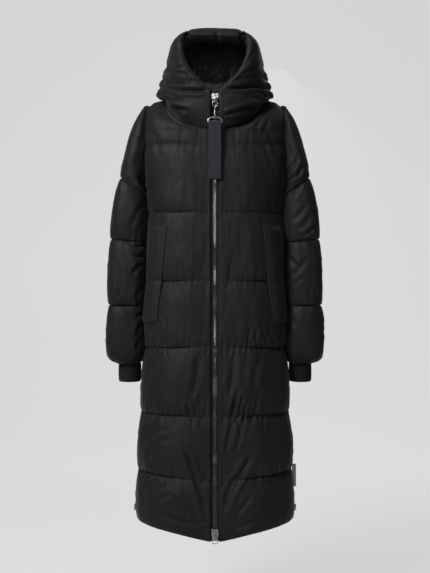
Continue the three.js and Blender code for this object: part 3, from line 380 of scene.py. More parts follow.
def wall(
    outer: Array,
    inner: Array,
    closed: bool = False,
    roll: Roll = Roll(),
    lining: Array | int = 1,
    steps: int = 4,
) -> Skin:
    """A closed wall of cloth between an outer and an inner grid of points, with rounded edges.

    Args:
        outer: rows x columns x 3 points of the outer face.
        inner: the same of the inner face.
        closed: whether the last column joins the first.
        roll: how far each edge rounds out.
        lining: finish number of the inner faces, or one for each of them.
        steps: rows of faces round each edge.

    Returns:
        The wall as a skin.
    """
    rows, columns = outer.shape[:2]
    spans = columns if closed else columns - 1
    i, j = np.meshgrid(np.arange(rows - 1), np.arange(spans), indexing="ij")
    corners = [(i, j), (i, j + 1), (i + 1, j + 1), (i + 1, j)]
    quads = np.stack([a * columns + b % columns for a, b in corners], -1).reshape(-1, 4)
    middle = (outer + inner) / 2
    wide = np.concatenate([middle, middle[:, :1]], 1) if closed else middle
    run, rise = lengths(wide, 1), lengths(wide, 0)
    flat = np.stack([np.stack([run[a, b], rise[a, b]], -1) for a, b in corners], -2).reshape(-1, 4, 2)
    points = [outer.reshape(-1, 3), inner.reshape(-1, 3)]
    faces = [quads, quads[:, ::-1] + rows * columns]
    flats, count = [flat, flat[:, ::-1]], 2 * rows * columns
    finishes = [np.zeros(len(quads), int), np.broadcast_to(np.asarray(lining).reshape(-1), (len(quads),))]
    for loop in rim_loops(rows, columns, closed):
        place = np.array(loop)
        a, b = place[:, 0], place[:, 1]
        out, size = np.zeros((len(loop), 3)), np.zeros(len(loop))
        edges = [(a == 0, roll.bottom, (1, 0)), (a == rows - 1, roll.top, (-1, 0))]
        if not closed:
            edges += [(b == 0, roll.start, (0, 1)), (b == columns - 1, roll.end, (0, -1))]
        for on, amount, (di, dj) in edges:
            away = unit(middle[a[on], b[on]] - middle[a[on] + di, b[on] + dj])
            amount = np.broadcast_to(amount, (rows if dj else columns,))[a[on] if dj else b[on]]
            out[on] += away * amount[:, None]
            size[on] = np.maximum(size[on], amount)
        out = unit(out) * size[:, None]
        centre, half = middle[a, b], (outer[a, b] - inner[a, b]) / 2
        ring = [a * columns + b]
        for k in range(1, steps):
            angle = math.pi * k / steps
            points.append(centre + half * math.cos(angle) + out * math.sin(angle))
            ring.append(np.arange(count, count + len(loop)))
            count += len(loop)
        ring.append(a * columns + b + rows * columns)
        spot = np.stack([run[a, b], rise[a, b]], -1)
        for k in range(steps):
            here, there = ring[k], ring[k + 1]
            faces.append(np.stack([here, there, np.roll(there, -1), np.roll(here, -1)], -1))
            after = np.roll(spot, -1, 0)
            shift = np.array([0.0, k * 2.0])
            flats.append(
                np.stack([spot - shift, spot - shift - [0, 2], after - shift - [0, 2], after - shift], -2)
            )
            finishes.append(np.zeros(len(loop), int))
    return Skin(
        np.concatenate(points), np.concatenate(faces), np.concatenate(flats), np.concatenate(finishes)
    )


def tube(path: Array, radius: Array | float, sides: int = 16, closed: bool = False) -> Skin:
    """A round wire along a path.

    Args:
        path: points along the middle of the wire.
        radius: its radius, or one for each point.
        sides: faces round it.
        closed: whether the wire is a ring.

    Returns:
        The wire as a skin, with rounded ends where it is open.
    """
    radius = np.broadcast_to(np.asarray(radius, float), (len(path),)).copy()
    if not closed:
        head, tail = unit(path[0] - path[1]), unit(path[-1] - path[-2])
        caps = [(0.98, 0.2), (0.8, 0.6), (0.45, 0.9)]
        first = [path[0] + head * radius[0] * out for out, _ in caps]
        last = [path[-1] + tail * radius[-1] * out for out, _ in reversed(caps)]
        radius = np.concatenate(
            [[radius[0] * r for _, r in caps], radius, [radius[-1] * r for _, r in reversed(caps)]]
        )
        path = np.concatenate([first, path, last])
    ahead = np.roll(path, -1, 0) - np.roll(path, 1, 0) if closed else np.gradient(path, axis=0)
    ahead = unit(ahead)
    side = np.zeros_like(path)
    start = np.array([0.0, 1.0, 0.0]) if abs(ahead[0][1]) < 0.9 else np.array([1.0, 0.0, 0.0])
    for k, way in enumerate(ahead):
        start = unit(start - way * (start @ way))
        side[k] = start
    across = np.cross(ahead, side)
    angle = np.linspace(0, 2 * math.pi, sides, endpoint=False)
    ring = side[:, None] * np.cos(angle)[None, :, None] + across[:, None] * np.sin(angle)[None, :, None]
    grid = path[:, None] + ring * radius[:, None, None]
    rows = len(path)
    spans = rows if closed else rows - 1
    i, j = np.meshgrid(np.arange(spans), np.arange(sides), indexing="ij")
    corners = [(i, j), (i + 1, j), (i + 1, j + 1), (i, j + 1)]
    quads = np.stack([(a % rows) * sides + b % sides for a, b in corners], -1).reshape(-1, 4)
    flat = np.stack([np.stack([b * 1.0, a * 1.0], -1) for a, b in corners], -2).reshape(-1, 4, 2)
    points = grid.reshape(-1, 3)
    if not closed:
        tip = np.stack([grid[0].mean(0), grid[-1].mean(0)])
        base = len(points)
        k = np.arange(sides)
        low = np.stack([np.full(sides, base), k, (k + 1) % sides, np.full(sides, base)], -1)
        high = (rows - 1) * sides + np.stack([(k + 1) % sides, k], -1)
        high = np.column_stack([np.full(sides, base + 1), high, np.full(sides, base + 1)])
        quads = np.concatenate([quads, low, high])
        flat = np.concatenate([flat, np.zeros((2 * sides, 4, 2))])
        points = np.concatenate([points, tip])
    return Skin(points, quads, flat, np.zeros(len(quads), int))


def block(outline: Array, depths: Array, insets: Array) -> Skin:
    """A plate with shaped edges, from an outline in the front plane and a list of layers.

    Args:
        outline: points (x, z) in order round the plate.
        depths: y of each layer, from the back to the front.
        insets: how far each layer shrinks towards the outline's middle, as a share.

    Returns:
        The plate as a skin.
    """
    middle = outline.mean(0)
    count, layers = len(outline), len(depths)
    rings = [middle + (outline - middle) * (1 - inset) for inset in insets]
    points = np.concatenate(
        [np.column_stack([r[:, 0], np.full(count, y), r[:, 1]]) for r, y in zip(rings, depths)]
    )
    tips = np.array([[middle[0], depths[0], middle[1]], [middle[0], depths[-1], middle[1]]])
    points = np.concatenate([points, tips])
    k = np.arange(count)
    after = (k + 1) % count
    ring = np.stack([k, after, count + after, count + k], -1)
    faces = [ring + n * count for n in range(layers - 1)]
    base, top = layers * count, (layers - 1) * count
    faces.append(np.stack([np.full(count, base), after, k, np.full(count, base)], -1))
    faces.append(np.stack([np.full(count, base + 1), top + k, top + after, np.full(count, base + 1)], -1))
    quads = np.concatenate(faces)
    return Skin(points, quads, np.zeros((len(quads), 4, 2)), np.zeros(len(quads), int))


def stitches(
    line: Array, normals: Array, pitch: float = 3.8, length: float = 2.7, thick: float = 0.32
) -> Skin:
    """A row of thread stitches along a line on the cloth.

    Args:
        line: points along the seam.
        normals: the cloth's normals there.
        pitch: distance from stitch to stitch.
        length: length of each stitch.
        thick: half the thread's thickness.

    Returns:
        The stitches as a skin.
    """
    run = np.concatenate([[0], np.cumsum(np.linalg.norm(np.diff(line, axis=0), axis=1))])
    places = np.arange(pitch, run[-1] - pitch / 2, pitch)
    centre, up = read_at(line, run, places), unit(read_at(normals, run, places))
    along = unit(read_at(line, run, places + 0.5) - read_at(line, run, places - 0.5))
    side = unit(np.cross(up, along))
    half = length / 2
    spots = [centre - along * half - up * 0.1, centre + side * thick, centre + up * thick * 1.3]
    spots += [centre - side * thick, centre - up * thick, centre + along * half - up * 0.1]
    points = np.stack(spots, 1).reshape(-1, 3)
    base = (np.arange(len(places)) * 6)[:, None]
    corner = np.array(
        [[0, 1, 2], [0, 2, 3], [0, 3, 4], [0, 4, 1], [5, 2, 1], [5, 3, 2], [5, 4, 3], [5, 1, 4]]
    )
    faces = (base[:, :, None] + corner[None]).reshape(-1, 3)
    quads = np.column_stack([faces, faces[:, :1]])
    return Skin(points, quads, np.zeros((len(quads), 4, 2)), np.zeros(len(quads), int))


def put(
    name: str,
    skin: Skin,
    finishes: list[Material],
    body: str,
    stands_for: tuple[str, ...] = (),
    sharp: float = 85.0,
) -> bpy.types.Object:
    """Makes a piece of the coat from a skin.

    Args:
        name: the piece's name.
        skin: its faces, in millimetres.
        finishes: its materials, in the order of the skin's finish numbers.
        body: the body that it moves with.
        stands_for: the solids that it is shown in place of.
        sharp: edges that bend more than this many degrees stay crisp.

    Returns:
        The piece.
    """
    mesh = bpy.data.meshes.new(name)
    faces = [face if face[0] != face[3] else face[:3] for face in skin.faces.tolist()]
    mesh.from_pydata((skin.points * MM).tolist(), [], faces)
    layer = mesh.uv_layers.new(name="flat")
    used = np.ones(skin.faces.shape, bool)
    used[:, 3] = skin.faces[:, 0] != skin.faces[:, 3]
    layer.data.foreach_set("uv", (skin.flat[used] * MM).astype(np.float32).reshape(-1))
    for finish in finishes:
        mesh.materials.append(finish)
    mesh.polygons.foreach_set("material_index", skin.finish.astype(np.int32))
    mesh.shade_smooth()
    mesh.set_sharp_from_angle(angle=math.radians(sharp))
    mesh.validate()
    piece = bpy.data.objects.new(name, mesh)
    bpy.context.scene.collection.objects.link(piece)
    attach(piece, body)
    if stands_for:
        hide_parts(*stands_for)
    LOG.info("%s: %d faces", name, len(faces))
    return piece


# Finishes


class Nodes:
    """A new material's nodes, with short ways to add the ones that the finishes share."""

    def __init__(self, name: str) -> None:
        """Starts a material with its surface shader.

        Args:
            name: the material's name.
        """
        self.material = bpy.data.materials.new(name)
        self.material.use_nodes = True
        self.tree = self.material.node_tree
        self.shader = self.tree.nodes["Principled BSDF"]
        self.place = self.tree.nodes.new("ShaderNodeTexCoord")

    def add(self, kind: str, **sockets: object) -> bpy.types.Node:
        """Adds a node and sets its sockets by name, linking those that are given another node's socket.

        Args:
            kind: the node's type.

        Returns:
            The node.
        """
        node = self.tree.nodes.new(kind)
        for name, value in sockets.items():
            self.join(value, node.inputs[name.replace("_", " ")])
        return node

    def join(self, value: object, socket: Socket) -> None:
        """Links a socket to another, or sets its number or colour.

        Args:
            value: a socket, number or colour.
            socket: the socket to fill.
        """
        if isinstance(value, Socket):
            self.tree.links.new(value, socket)
        else:
            socket.default_value = value

    def set(self, **sockets: object) -> None:
        """Sets or links sockets of the surface shader."""
        for name, value in sockets.items():
            self.join(value, self.shader.inputs[name.replace("_", " ")])

    def stretched(self, scale: tuple[float, float, float], flat: bool = False) -> Socket:
        """Coordinates in metres, or along the cloth, stretched along each axis."""
        source = self.place.outputs["UV" if flat else "Object"]
        return self.add("ShaderNodeMapping", Vector=source, Scale=scale).outputs["Vector"]

    def noise(self, where: Socket, scale: float, detail: float = 3.0, rough: float = 0.5) -> Socket:
        """Soft noise from 0 to 1."""
        node = self.add("ShaderNodeTexNoise", Vector=where, Scale=scale, Detail=detail, Roughness=rough)
        return node.outputs["Fac"]

    def ramp(self, value: Socket, low: float, high: float, out_low: float, out_high: float) -> Socket:
        """A value moved from one range to another.

        Args:
            value: a socket, number or colour.
            low: the value that becomes out_low.
            high: the value that becomes out_high.
            out_low: the new range's start.
            out_high: the new range's end.

        Returns:
            The moved value.
        """
        node = self.add("ShaderNodeMapRange", Value=value)
        for name, number in (
            ("From Min", low), ("From Max", high), ("To Min", out_low), ("To Max", out_high)
        ):
            node.inputs[name].default_value = number
        return node.outputs["Result"]

    def blend(self, share: Socket, a: tuple[float, ...], b: tuple[float, ...]) -> Socket:
        """A colour between two.

        Args:
            share: how much of the second colour shows.
            a: the first colour.
            b: the second colour.

        Returns:
            The colour.
        """
        node = self.tree.nodes.new("ShaderNodeMix")
        node.data_type = "RGBA"
        self.join(share, node.inputs[0])
        node.inputs[6].default_value, node.inputs[7].default_value = (*a, 1.0), (*b, 1.0)
        return node.outputs[2]

    def bumps(self, layers: list[tuple[Socket, float, float]]) -> None:
        """Adds layers of relief to the surface, each a height, a strength and a depth in metres.

        Args:
            layers: the layers, from the lowest.
        """
        normal = None
        for height, strength, depth in layers:
            node = self.add("ShaderNodeBump", Height=height, Strength=strength, Distance=depth)
            if normal is not None:
                self.tree.links.new(normal, node.inputs["Normal"])
            normal = node.outputs["Normal"]
        self.tree.links.new(normal, self.shader.inputs["Normal"])

    def wave(self, where: Socket, scale: float, axis: str = "X", distortion: float = 0.0) -> Socket:
        """Even bands along an axis, from 0 to 1.

        Args:
            where: the coordinates.
            scale: bands in a metre, about.
            axis: the axis that the bands follow each other along.
            distortion: how far the bands waver.

        Returns:
            The bands.
        """
        node = self.add("ShaderNodeTexWave", Vector=where, Scale=scale, Distortion=distortion)
        node.bands_direction = axis
        return node.outputs["Fac"]


@dataclass(frozen=True)
class PaddedCloth:
    """Tight plain-woven cloth over padding: a soft sheen, fine creases and the grain of its weave."""

    name: str = "shell_cloth"
    dark: Color = (0.0106, 0.0087, 0.0090)
    light: Color = (0.0152, 0.0126, 0.0130)
    roughness: tuple[float, float] = (0.56, 0.70)
    sheen: float = 0.10
    crinkle: float = 0.32
    thread: float = 2600.0

    def material(self) -> Material:
        """Builds the finish."""
        n = Nodes(self.name)
        place = n.stretched((1.0, 1.0, 0.55))
        cloud = n.noise(n.stretched((1.0, 1.0, 1.0)), 9.0, 4.0)
        fine = n.noise(place, 70.0, 4.0, 0.55)
        n.set(Base_Color=n.blend(n.ramp(cloud, 0.3, 0.7, 0.0, 1.0), self.dark, self.light))
        n.set(Roughness=n.ramp(fine, 0.3, 0.7, self.roughness[0], self.roughness[1]))
        n.set(Sheen_Weight=self.sheen, Sheen_Roughness=0.45, Specular_IOR_Level=0.30)
        flat = n.stretched((1.0, 1.0, 1.0), flat=True)
        weave = n.add("ShaderNodeMath", Value=n.wave(flat, self.thread))
        weave.operation = "MULTIPLY"
        n.join(n.wave(flat, self.thread, "Y"), weave.inputs[1])
        crinkle = n.noise(n.stretched((1.0, 1.0, 0.4)), 110.0, 5.0, 0.6)
        dents = n.noise(n.stretched((1.0, 1.0, 0.8)), 38.0, 3.0, 0.5)
        n.bumps(
            [
                (dents, self.crinkle, 0.004),
                (crinkle, self.crinkle * 0.8, 0.0012),
                (weave.outputs["Value"], 0.1, 0.0001),
            ]
        )
        return n.material


@dataclass(frozen=True)
class Lining:
    """Thin glossy lining with sharp little crumples; its colour is painted lighter than the real dark cloth
    to stand in for light inside the hood, and painted glints sit on the crumples.
    """

    name: str = "lining_cloth"
    # Painted light: lighter than the real dark cloth, standing in for light that does not reach inside the
    # hood.
    color: Color = (0.0700, 0.0600, 0.0780)
    # Painted highlight: the lighter colour laid on the crumples' raised parts.
    painted_glint: Color = (0.1150, 0.1000, 0.1260)

    def material(self) -> Material:
        """Builds the finish."""
        n = Nodes(self.name)
        crumple = n.noise(n.stretched((1.0, 1.0, 0.7)), 46.0, 5.0, 0.62)
        n.set(
            # The colour moves towards the painted glint where the crumples rise.
            Base_Color=n.blend(crumple, self.color, self.painted_glint),
            Roughness=n.ramp(crumple, 0.3, 0.7, 0.28, 0.42),
        )
        n.set(Specular_IOR_Level=0.6, Sheen_Weight=0.1)
        n.bumps([(crumple, 0.3, 0.003), (n.noise(n.stretched((1.0, 1.0, 1.0)), 160.0, 3.0), 0.2, 0.001)])
        return n.material


@dataclass(frozen=True)
class RibKnit:
    """Elastic knit: rows of little loops over the ribs that the mesh has."""

    name: str = "rib_knit"
    color: Color = (0.0055, 0.0062, 0.0068)
    light: Color = (0.0105, 0.0115, 0.0120)

    def material(self) -> Material:
        """Builds the finish."""
        n = Nodes(self.name)
        flat = n.stretched((1.0, 1.0, 1.0), flat=True)
        loops = n.wave(flat, 250.0, "Y", 1.5)
        n.set(Base_Color=n.blend(loops, self.color, self.light), Roughness=0.88)
        n.set(Sheen_Weight=0.14, Sheen_Roughness=0.6, Specular_IOR_Level=0.2)
        n.bumps([(loops, 0.5, 0.0006), (n.noise(n.stretched((1.0, 1.0, 1.0)), 900.0, 2.0), 0.3, 0.0003)])
        return n.material


@dataclass(frozen=True)
class Woven:
    """Coarse narrow weave, as on webbing, tape and ribbon, with bands across and threads along."""

    name: str
    color: Color
    light: Color
    bands: float = 420.0
    threads: float = 700.0
    roughness: float = 0.72
    relief: float = 0.45

    def material(self) -> Material:
        """Builds the finish."""
        n = Nodes(self.name)
        flat = n.stretched((1.0, 1.0, 1.0), flat=True)
        bands, threads = n.wave(flat, self.bands, "Y"), n.wave(flat, self.threads, "X")
        fuzz = n.noise(n.stretched((1.0, 1.0, 1.0)), 500.0, 3.0)
        n.set(
            Base_Color=n.blend(n.ramp(fuzz, 0.3, 0.7, 0.0, 1.0), self.color, self.light),
            Roughness=self.roughness,
        )
        n.set(Sheen_Weight=0.25, Specular_IOR_Level=0.3)
        n.bumps([(bands, self.relief, 0.0004), (threads, self.relief * 0.6, 0.0002), (fuzz, 0.2, 0.0002)])
        return n.material


@dataclass(frozen=True)
class Metal:
    """Plated metal with a little wear: faint scratches and a cloudy polish."""

    name: str
    color: Color
    worn: Color
    roughness: tuple[float, float] = (0.12, 0.26)

    def material(self) -> Material:
        """Builds the finish."""
        n = Nodes(self.name)
        cloud = n.noise(n.stretched((1.0, 1.0, 1.0)), 260.0, 4.0)
        scratch = n.noise(n.stretched((1.0, 1.0, 0.08)), 2200.0, 2.0)
        n.set(Base_Color=n.blend(n.ramp(cloud, 0.35, 0.7, 0.0, 1.0), self.color, self.worn), Metallic=1.0)
        n.set(Roughness=n.ramp(cloud, 0.3, 0.7, self.roughness[0], self.roughness[1]))
        n.bumps([(scratch, 0.12, 0.0001)])
        return n.material


@dataclass
class Wardrobe:
    """Every finish of the coat, built once."""

    shell: Material = field(default_factory=lambda: PaddedCloth().material())
    lining: Material = field(default_factory=lambda: Lining().material())
    knit: Material = field(default_factory=lambda: RibKnit().material())
    webbing: Material = field(
        default_factory=lambda: Woven(
            "strap_webbing", (0.020, 0.0225, 0.028), (0.028, 0.031, 0.038), 560.0, 360.0
        ).material()
    )
    tape: Material = field(
        default_factory=lambda: Woven(
            "zip_tape_weave", (0.0085, 0.0085, 0.0095), (0.0145, 0.0145, 0.016), 900.0, 900.0
        ).material()
    )
    ribbon: Material = field(
        default_factory=lambda: Woven(
            "tab_ribbon", (0.62, 0.55, 0.47), (0.72, 0.66, 0.58), 1200.0, 900.0, 0.6, 0.3
        ).material()
    )
    thread: Material = field(
        default_factory=lambda: Woven(
            "sewing_thread", (0.012, 0.011, 0.012), (0.022, 0.021, 0.022), 2000.0, 2000.0, 0.5
        ).material()
    )
    gunmetal: Material = field(
        default_factory=lambda: Metal(
            "zip_gunmetal", (0.30, 0.305, 0.31), (0.46, 0.465, 0.47), (0.16, 0.28)
        ).material()
    )
    silver: Material = field(
        default_factory=lambda: Metal("polished_silver", (0.55, 0.55, 0.56), (0.42, 0.42, 0.43)).material()
    )


# Body


def puff(part: Array, power: float = 0.46, sag: float = 0.78) -> Array:
    """The padding's profile across a channel: 0 on the sewn lines, fullest low down."""
    sagged = np.clip(part, 0, 1) ** sag
    return np.maximum(4 * sagged * (1 - sagged), 0) ** power


@dataclass(frozen=True)
class QuiltLine:
    """One sewn line round the body: its heights, and the inside sizes of the body there."""

    side: float
    front: float
    back: float
    half: float
    fore: float
    aft: float


@dataclass(frozen=True)
class Neckline:
    """The neck seam's main points: middle front, shoulder neck point and nape."""

    front_y: float = -118.0
    front_z: float = -84.0
    side_x: float = 114.0
    side_y: float = 5.0
    side_z: float = 2.0
    nape_y: float = 88.0
    nape_z: float = 8.0
    dip_power: float = 1.35


@dataclass(frozen=True)
class Armhole:
    """The armhole's loop from the underarm to the shoulder point."""

    low: float = -222.0
    high: float = -13.0
    half_depth: float = 62.0
    low_x: float = 173.0
    mid_x: float = 177.0
    high_x: float = 167.0

    def at(self, turn: Array) -> Array:
        """Points of the front half of the loop, turn 0 at the underarm and 1 at the shoulder.

        Args:
            turn: places round the loop, from 0 to 1.

        Returns:
            A value or point for each place.
        """
        angle = math.pi * turn
        end = np.where(turn < 0.5, self.low_x, self.high_x)
        x = mix(end, self.mid_x, np.sin(angle))
        z = (self.low + self.high) / 2 - (self.high - self.low) / 2 * np.cos(angle)
        return np.stack([x, self.half_depth * np.sin(angle), z], -1)


@dataclass
class QuiltedBody:
    """The two front panels and the back, sewn across in wide channels."""

    lines: tuple[QuiltLine, ...] = (
        QuiltLine(-1071, -1107, -1100, 195, 150, 152),
        QuiltLine(-943, -960, -954, 193, 148, 148),
        QuiltLine(-796, -801, -800, 187, 143, 141),
        QuiltLine(-632, -627, -630, 178, 138, 135),
        QuiltLine(-463, -463, -463, 172, 134, 130),
        QuiltLine(-288, -293, -290, 169, 131, 129),
        QuiltLine(-113, -129, -122, 177, 125, 122),
    )
    fills: tuple[float, ...] = (15.0, 16.0, 15.5, 13.5, 11.5, 10.0, 9.0)
    neck: Neckline = Neckline()
    armhole: Armhole = Armhole()
    seam_wall: float = 3.0
    zip_half: float = 12.5
    half_gap: float = 0.15
    section_power: float = 2.4
    underarm: float = 5.4
    channel_steps: int = 40
    armhole_steps: int = 66
    front_columns: int = 88
    back_columns: int = 66
    front_neck: float = 0.6
    back_neck: float = 0.7

    def __post_init__(self) -> None:
        """Sets the rows of points from the hem to the shoulder."""
        share = np.arange(self.channel_steps) / self.channel_steps
        crowded = share - 0.4 * np.sin(2 * math.pi * share) / (2 * math.pi)
        low = np.concatenate([line + crowded for line in range(6)])
        low = low[low < self.underarm - 0.01]
        turn = np.linspace(0, 1, self.armhole_steps + 1)
        high = np.where(turn < 0.5, mix(self.underarm, 6.0, turn * 2), 6.0 + (turn - 0.5) * 2)
        self.line = np.concatenate([low, high])
        self.turn = np.concatenate([np.zeros(len(low)), turn])
        self.first_turn = len(low)
        names = QuiltLine.__annotations__
        self.table = {name: np.array([getattr(line, name) for line in self.lines], float) for name in names}

    def neck_at(self, part: Array, is_front: bool) -> Array:
        """Points of the neck seam, part 0 at the middle and 1 at the shoulder.

        Args:
            part: places from the middle (0) to the side (1).
            is_front: whether the panel is a front.

        Returns:
            A point for each place.
        """
        angle, neck = np.clip(part, 0, 1) * QUARTER, self.neck
        if is_front:
            x = mix(self.zip_half, neck.side_x, np.sin(angle))
            y = mix(neck.side_y, neck.front_y, np.cos(angle))
            z = mix(neck.front_z, neck.side_z, (1 - np.cos(angle)) ** neck.dip_power)
            return np.stack([x, y, z], -1)
        y, z = mix(neck.side_y, neck.nape_y, np.cos(angle)), mix(neck.side_z, neck.nape_z, np.cos(angle))
        return np.stack([neck.side_x * np.sin(angle), y, z], -1)

    def middle_edge(self, is_front: bool) -> Array:
        """The panel's edge at the middle: the centre line, then round the neck.

        Args:
            is_front: whether the panel is a front.

        Returns:
            A point for each row.
        """
        line = np.minimum(self.line, 6.0)
        depth = catmull(self.table["fore" if is_front else "aft"], line)
        height = catmull(self.table["front" if is_front else "back"], line)
        x = np.full(len(line), self.zip_half if is_front else 0.0)
        low = np.stack([x, -depth if is_front else depth, height], -1)
        stop = self.front_neck if is_front else self.back_neck
        rise = np.clip((self.turn - 0.5) / (stop - 0.5), 0, 1)[:, None]
        rising = mix(low, self.neck_at(np.zeros(1), is_front), rise)
        round_neck = self.neck_at((self.turn - stop) / (1 - stop), is_front)
        below = np.where((self.line > 6)[:, None], rising, low)
        return np.where((self.turn > stop)[:, None], round_neck, below)

    def outer_edge(self, is_front: bool) -> Array:
        """The panel's edge at the side seam, then round the armhole.

        Args:
            is_front: whether the panel is a front.

        Returns:
            A point for each row.
        """
        sign = -1.0 if is_front else 1.0
        gap = sign * self.half_gap
        half, side = catmull(self.table["half"], self.line), catmull(self.table["side"], self.line)
        low = np.stack([half, np.full(len(self.line), gap), side], -1)
        high = self.armhole.at(self.turn) * np.array([1, sign, 1]) + np.array([0, gap, 0])
        above = np.arange(len(self.line)) >= self.first_turn
        return np.where(above[:, None], high, low)

    def inside(self, is_front: bool, parts: Array) -> Array:
        """The panel's inside face.

        Args:
            is_front: whether the panel is a front.
            parts: each column's place, from the middle (0) to the side (1).

        Returns:
            A grid of points.
        """
        start, end = self.middle_edge(is_front), self.outer_edge(is_front)
        top = self.turn == 1
        start[top, 1] += -self.half_gap if is_front else self.half_gap
        last = (QUARTER * (1 - 0.5 * self.turn))[:, None]
        power = 2 / self.section_power
        across = (np.sin(parts * last) / np.sin(last)) ** power
        end_back = np.maximum(np.cos(last), 0) ** power
        back = (np.maximum(np.cos(parts * last), 0) ** power - end_back) / (1 - end_back)
        x, z = (mix(start[:, None, k], end[:, None, k], across) for k in (0, 2))
        y = mix(end[:, None, 1], start[:, None, 1], back)
        return np.stack([x, y, z], -1)

    def fullness(self, is_front: bool, parts: Array) -> Array:
        """Thickness of the padding over the panel, before its folds.

        Args:
            is_front: whether the panel is a front.
            parts: each column's place, from the middle (0) to the side (1).

        Returns:
            A thickness for each point.
        """
        line, turn = self.line[:, None], self.turn[:, None]
        above = np.arange(len(self.line))[:, None] >= self.first_turn
        near_zip = mix(0.25, 1.0, smooth(parts / 0.35)) if is_front else 1.0
        near_side = mix(0.36, 1.0, smooth((1 - parts) / 0.34)) * mix(0.7, 1.0, smooth((1 - parts) / 0.04))
        at_armhole = np.where(above, smooth((1 - parts) / 0.07) ** 0.7, 1.0)
        stop = self.front_neck if is_front else self.back_neck
        at_neck = np.where(turn > stop, smooth(parts / 0.3), 1.0)
        over = smooth((line - 6.3) / 0.5)
        at_armhole = mix(at_armhole, 1.0, 0.55 * smooth((turn - 0.4) / 0.3))
        profile = mix(puff(line - np.floor(line)), 0.9, over)
        fill = np.interp(line - 0.5, np.arange(7), self.fills)
        return fill * profile * mix(near_zip, 1.0, over) * near_side * at_armhole * at_neck

    def panel(self, is_front: bool, sign: int, folds: "BodyFolds") -> "Panel":
        """One panel with its folds; sign is 1 on the wearer's left and -1 on the right.

        Args:
            is_front: whether the panel is a front.
            sign: 1 on the wearer's left and -1 on the right.
            folds: the folds to lay on it.

        Returns:
            The finished panel.
        """
        count = self.front_columns if is_front else self.back_columns
        parts = (np.arange(count + 1) / count) ** (1.12 if is_front else 1.0)
        inner = self.inside(is_front, parts)
        normals = grid_normals(inner, 1.0 if is_front else -1.0)
        above = np.arange(len(self.line)) >= self.first_turn
        stop = self.front_neck if is_front else self.back_neck
        level = ~above | (self.turn <= stop)
        normals[level, 0, 0] = 0
        low = ~above | (np.arange(len(self.line)) == self.first_turn)
        normals[low, -1, 1] = 0
        normals[~low, -1] += np.array([0.6, 0, 0])
        normals[self.turn == 1, :, 1] = 0
        normals = unit(normals)
        base = inner + normals * (self.seam_wall + self.fullness(is_front, parts))[..., None]
        flip = np.array([sign, 1.0, 1.0])
        free = smooth(lengths(inner, 1) / 9.0) * smooth((lengths(inner, 1)[:, -1:] - lengths(inner, 1)) / 9.0)
        free = np.where(above[:, None], free * smooth((1 - self.turn[:, None]) / 0.12), free)
        relief = folds.relief(self, base * flip, normals * flip, is_front, sign) * free
        relief = np.maximum(relief, 1.2 - self.seam_wall - self.fullness(is_front, parts))
        outer = base + normals * relief[..., None]
        crumple = folds.lining(inner * flip)
        inside = inner + normals * (crumple * free)[..., None]
        return Panel(self, parts, inner, inside, base, outer, normals, sign)


@dataclass
class Panel:
    """One finished panel of the body, worked out on the wearer's left."""

    body: QuiltedBody
    parts: Array
    inner: Array
    inside: Array
    base: Array
    outer: Array
    normals: Array
    sign: int

    def skin_at(self, part: Array, line: Array, grid: Array) -> Array:
        """Values of a grid of this panel between its points.

        Args:
            part: places from the middle (0) to the side (1).
            line: places up the panel, in channels.
            grid: the grid of values to read.

        Returns:
            A value for each place.
        """
        j = np.interp(part, self.parts, np.arange(len(self.parts)))
        i = np.interp(line, self.body.line, np.arange(len(self.body.line)))
        a, b = np.floor(i).astype(int), np.floor(j).astype(int)
        a, b = np.minimum(a, grid.shape[0] - 2), np.minimum(b, grid.shape[1] - 2)
        s, t = (i - a)[..., None], (j - b)[..., None]
        low = mix(grid[a, b], grid[a, b + 1], t)
        high = mix(grid[a + 1, b], grid[a + 1, b + 1], t)
        return mix(low, high, s)

    def row_of(self, line: float) -> int:
        """The row of points on a sewn line."""
        return int(np.argmin(np.abs(self.body.line - line)))


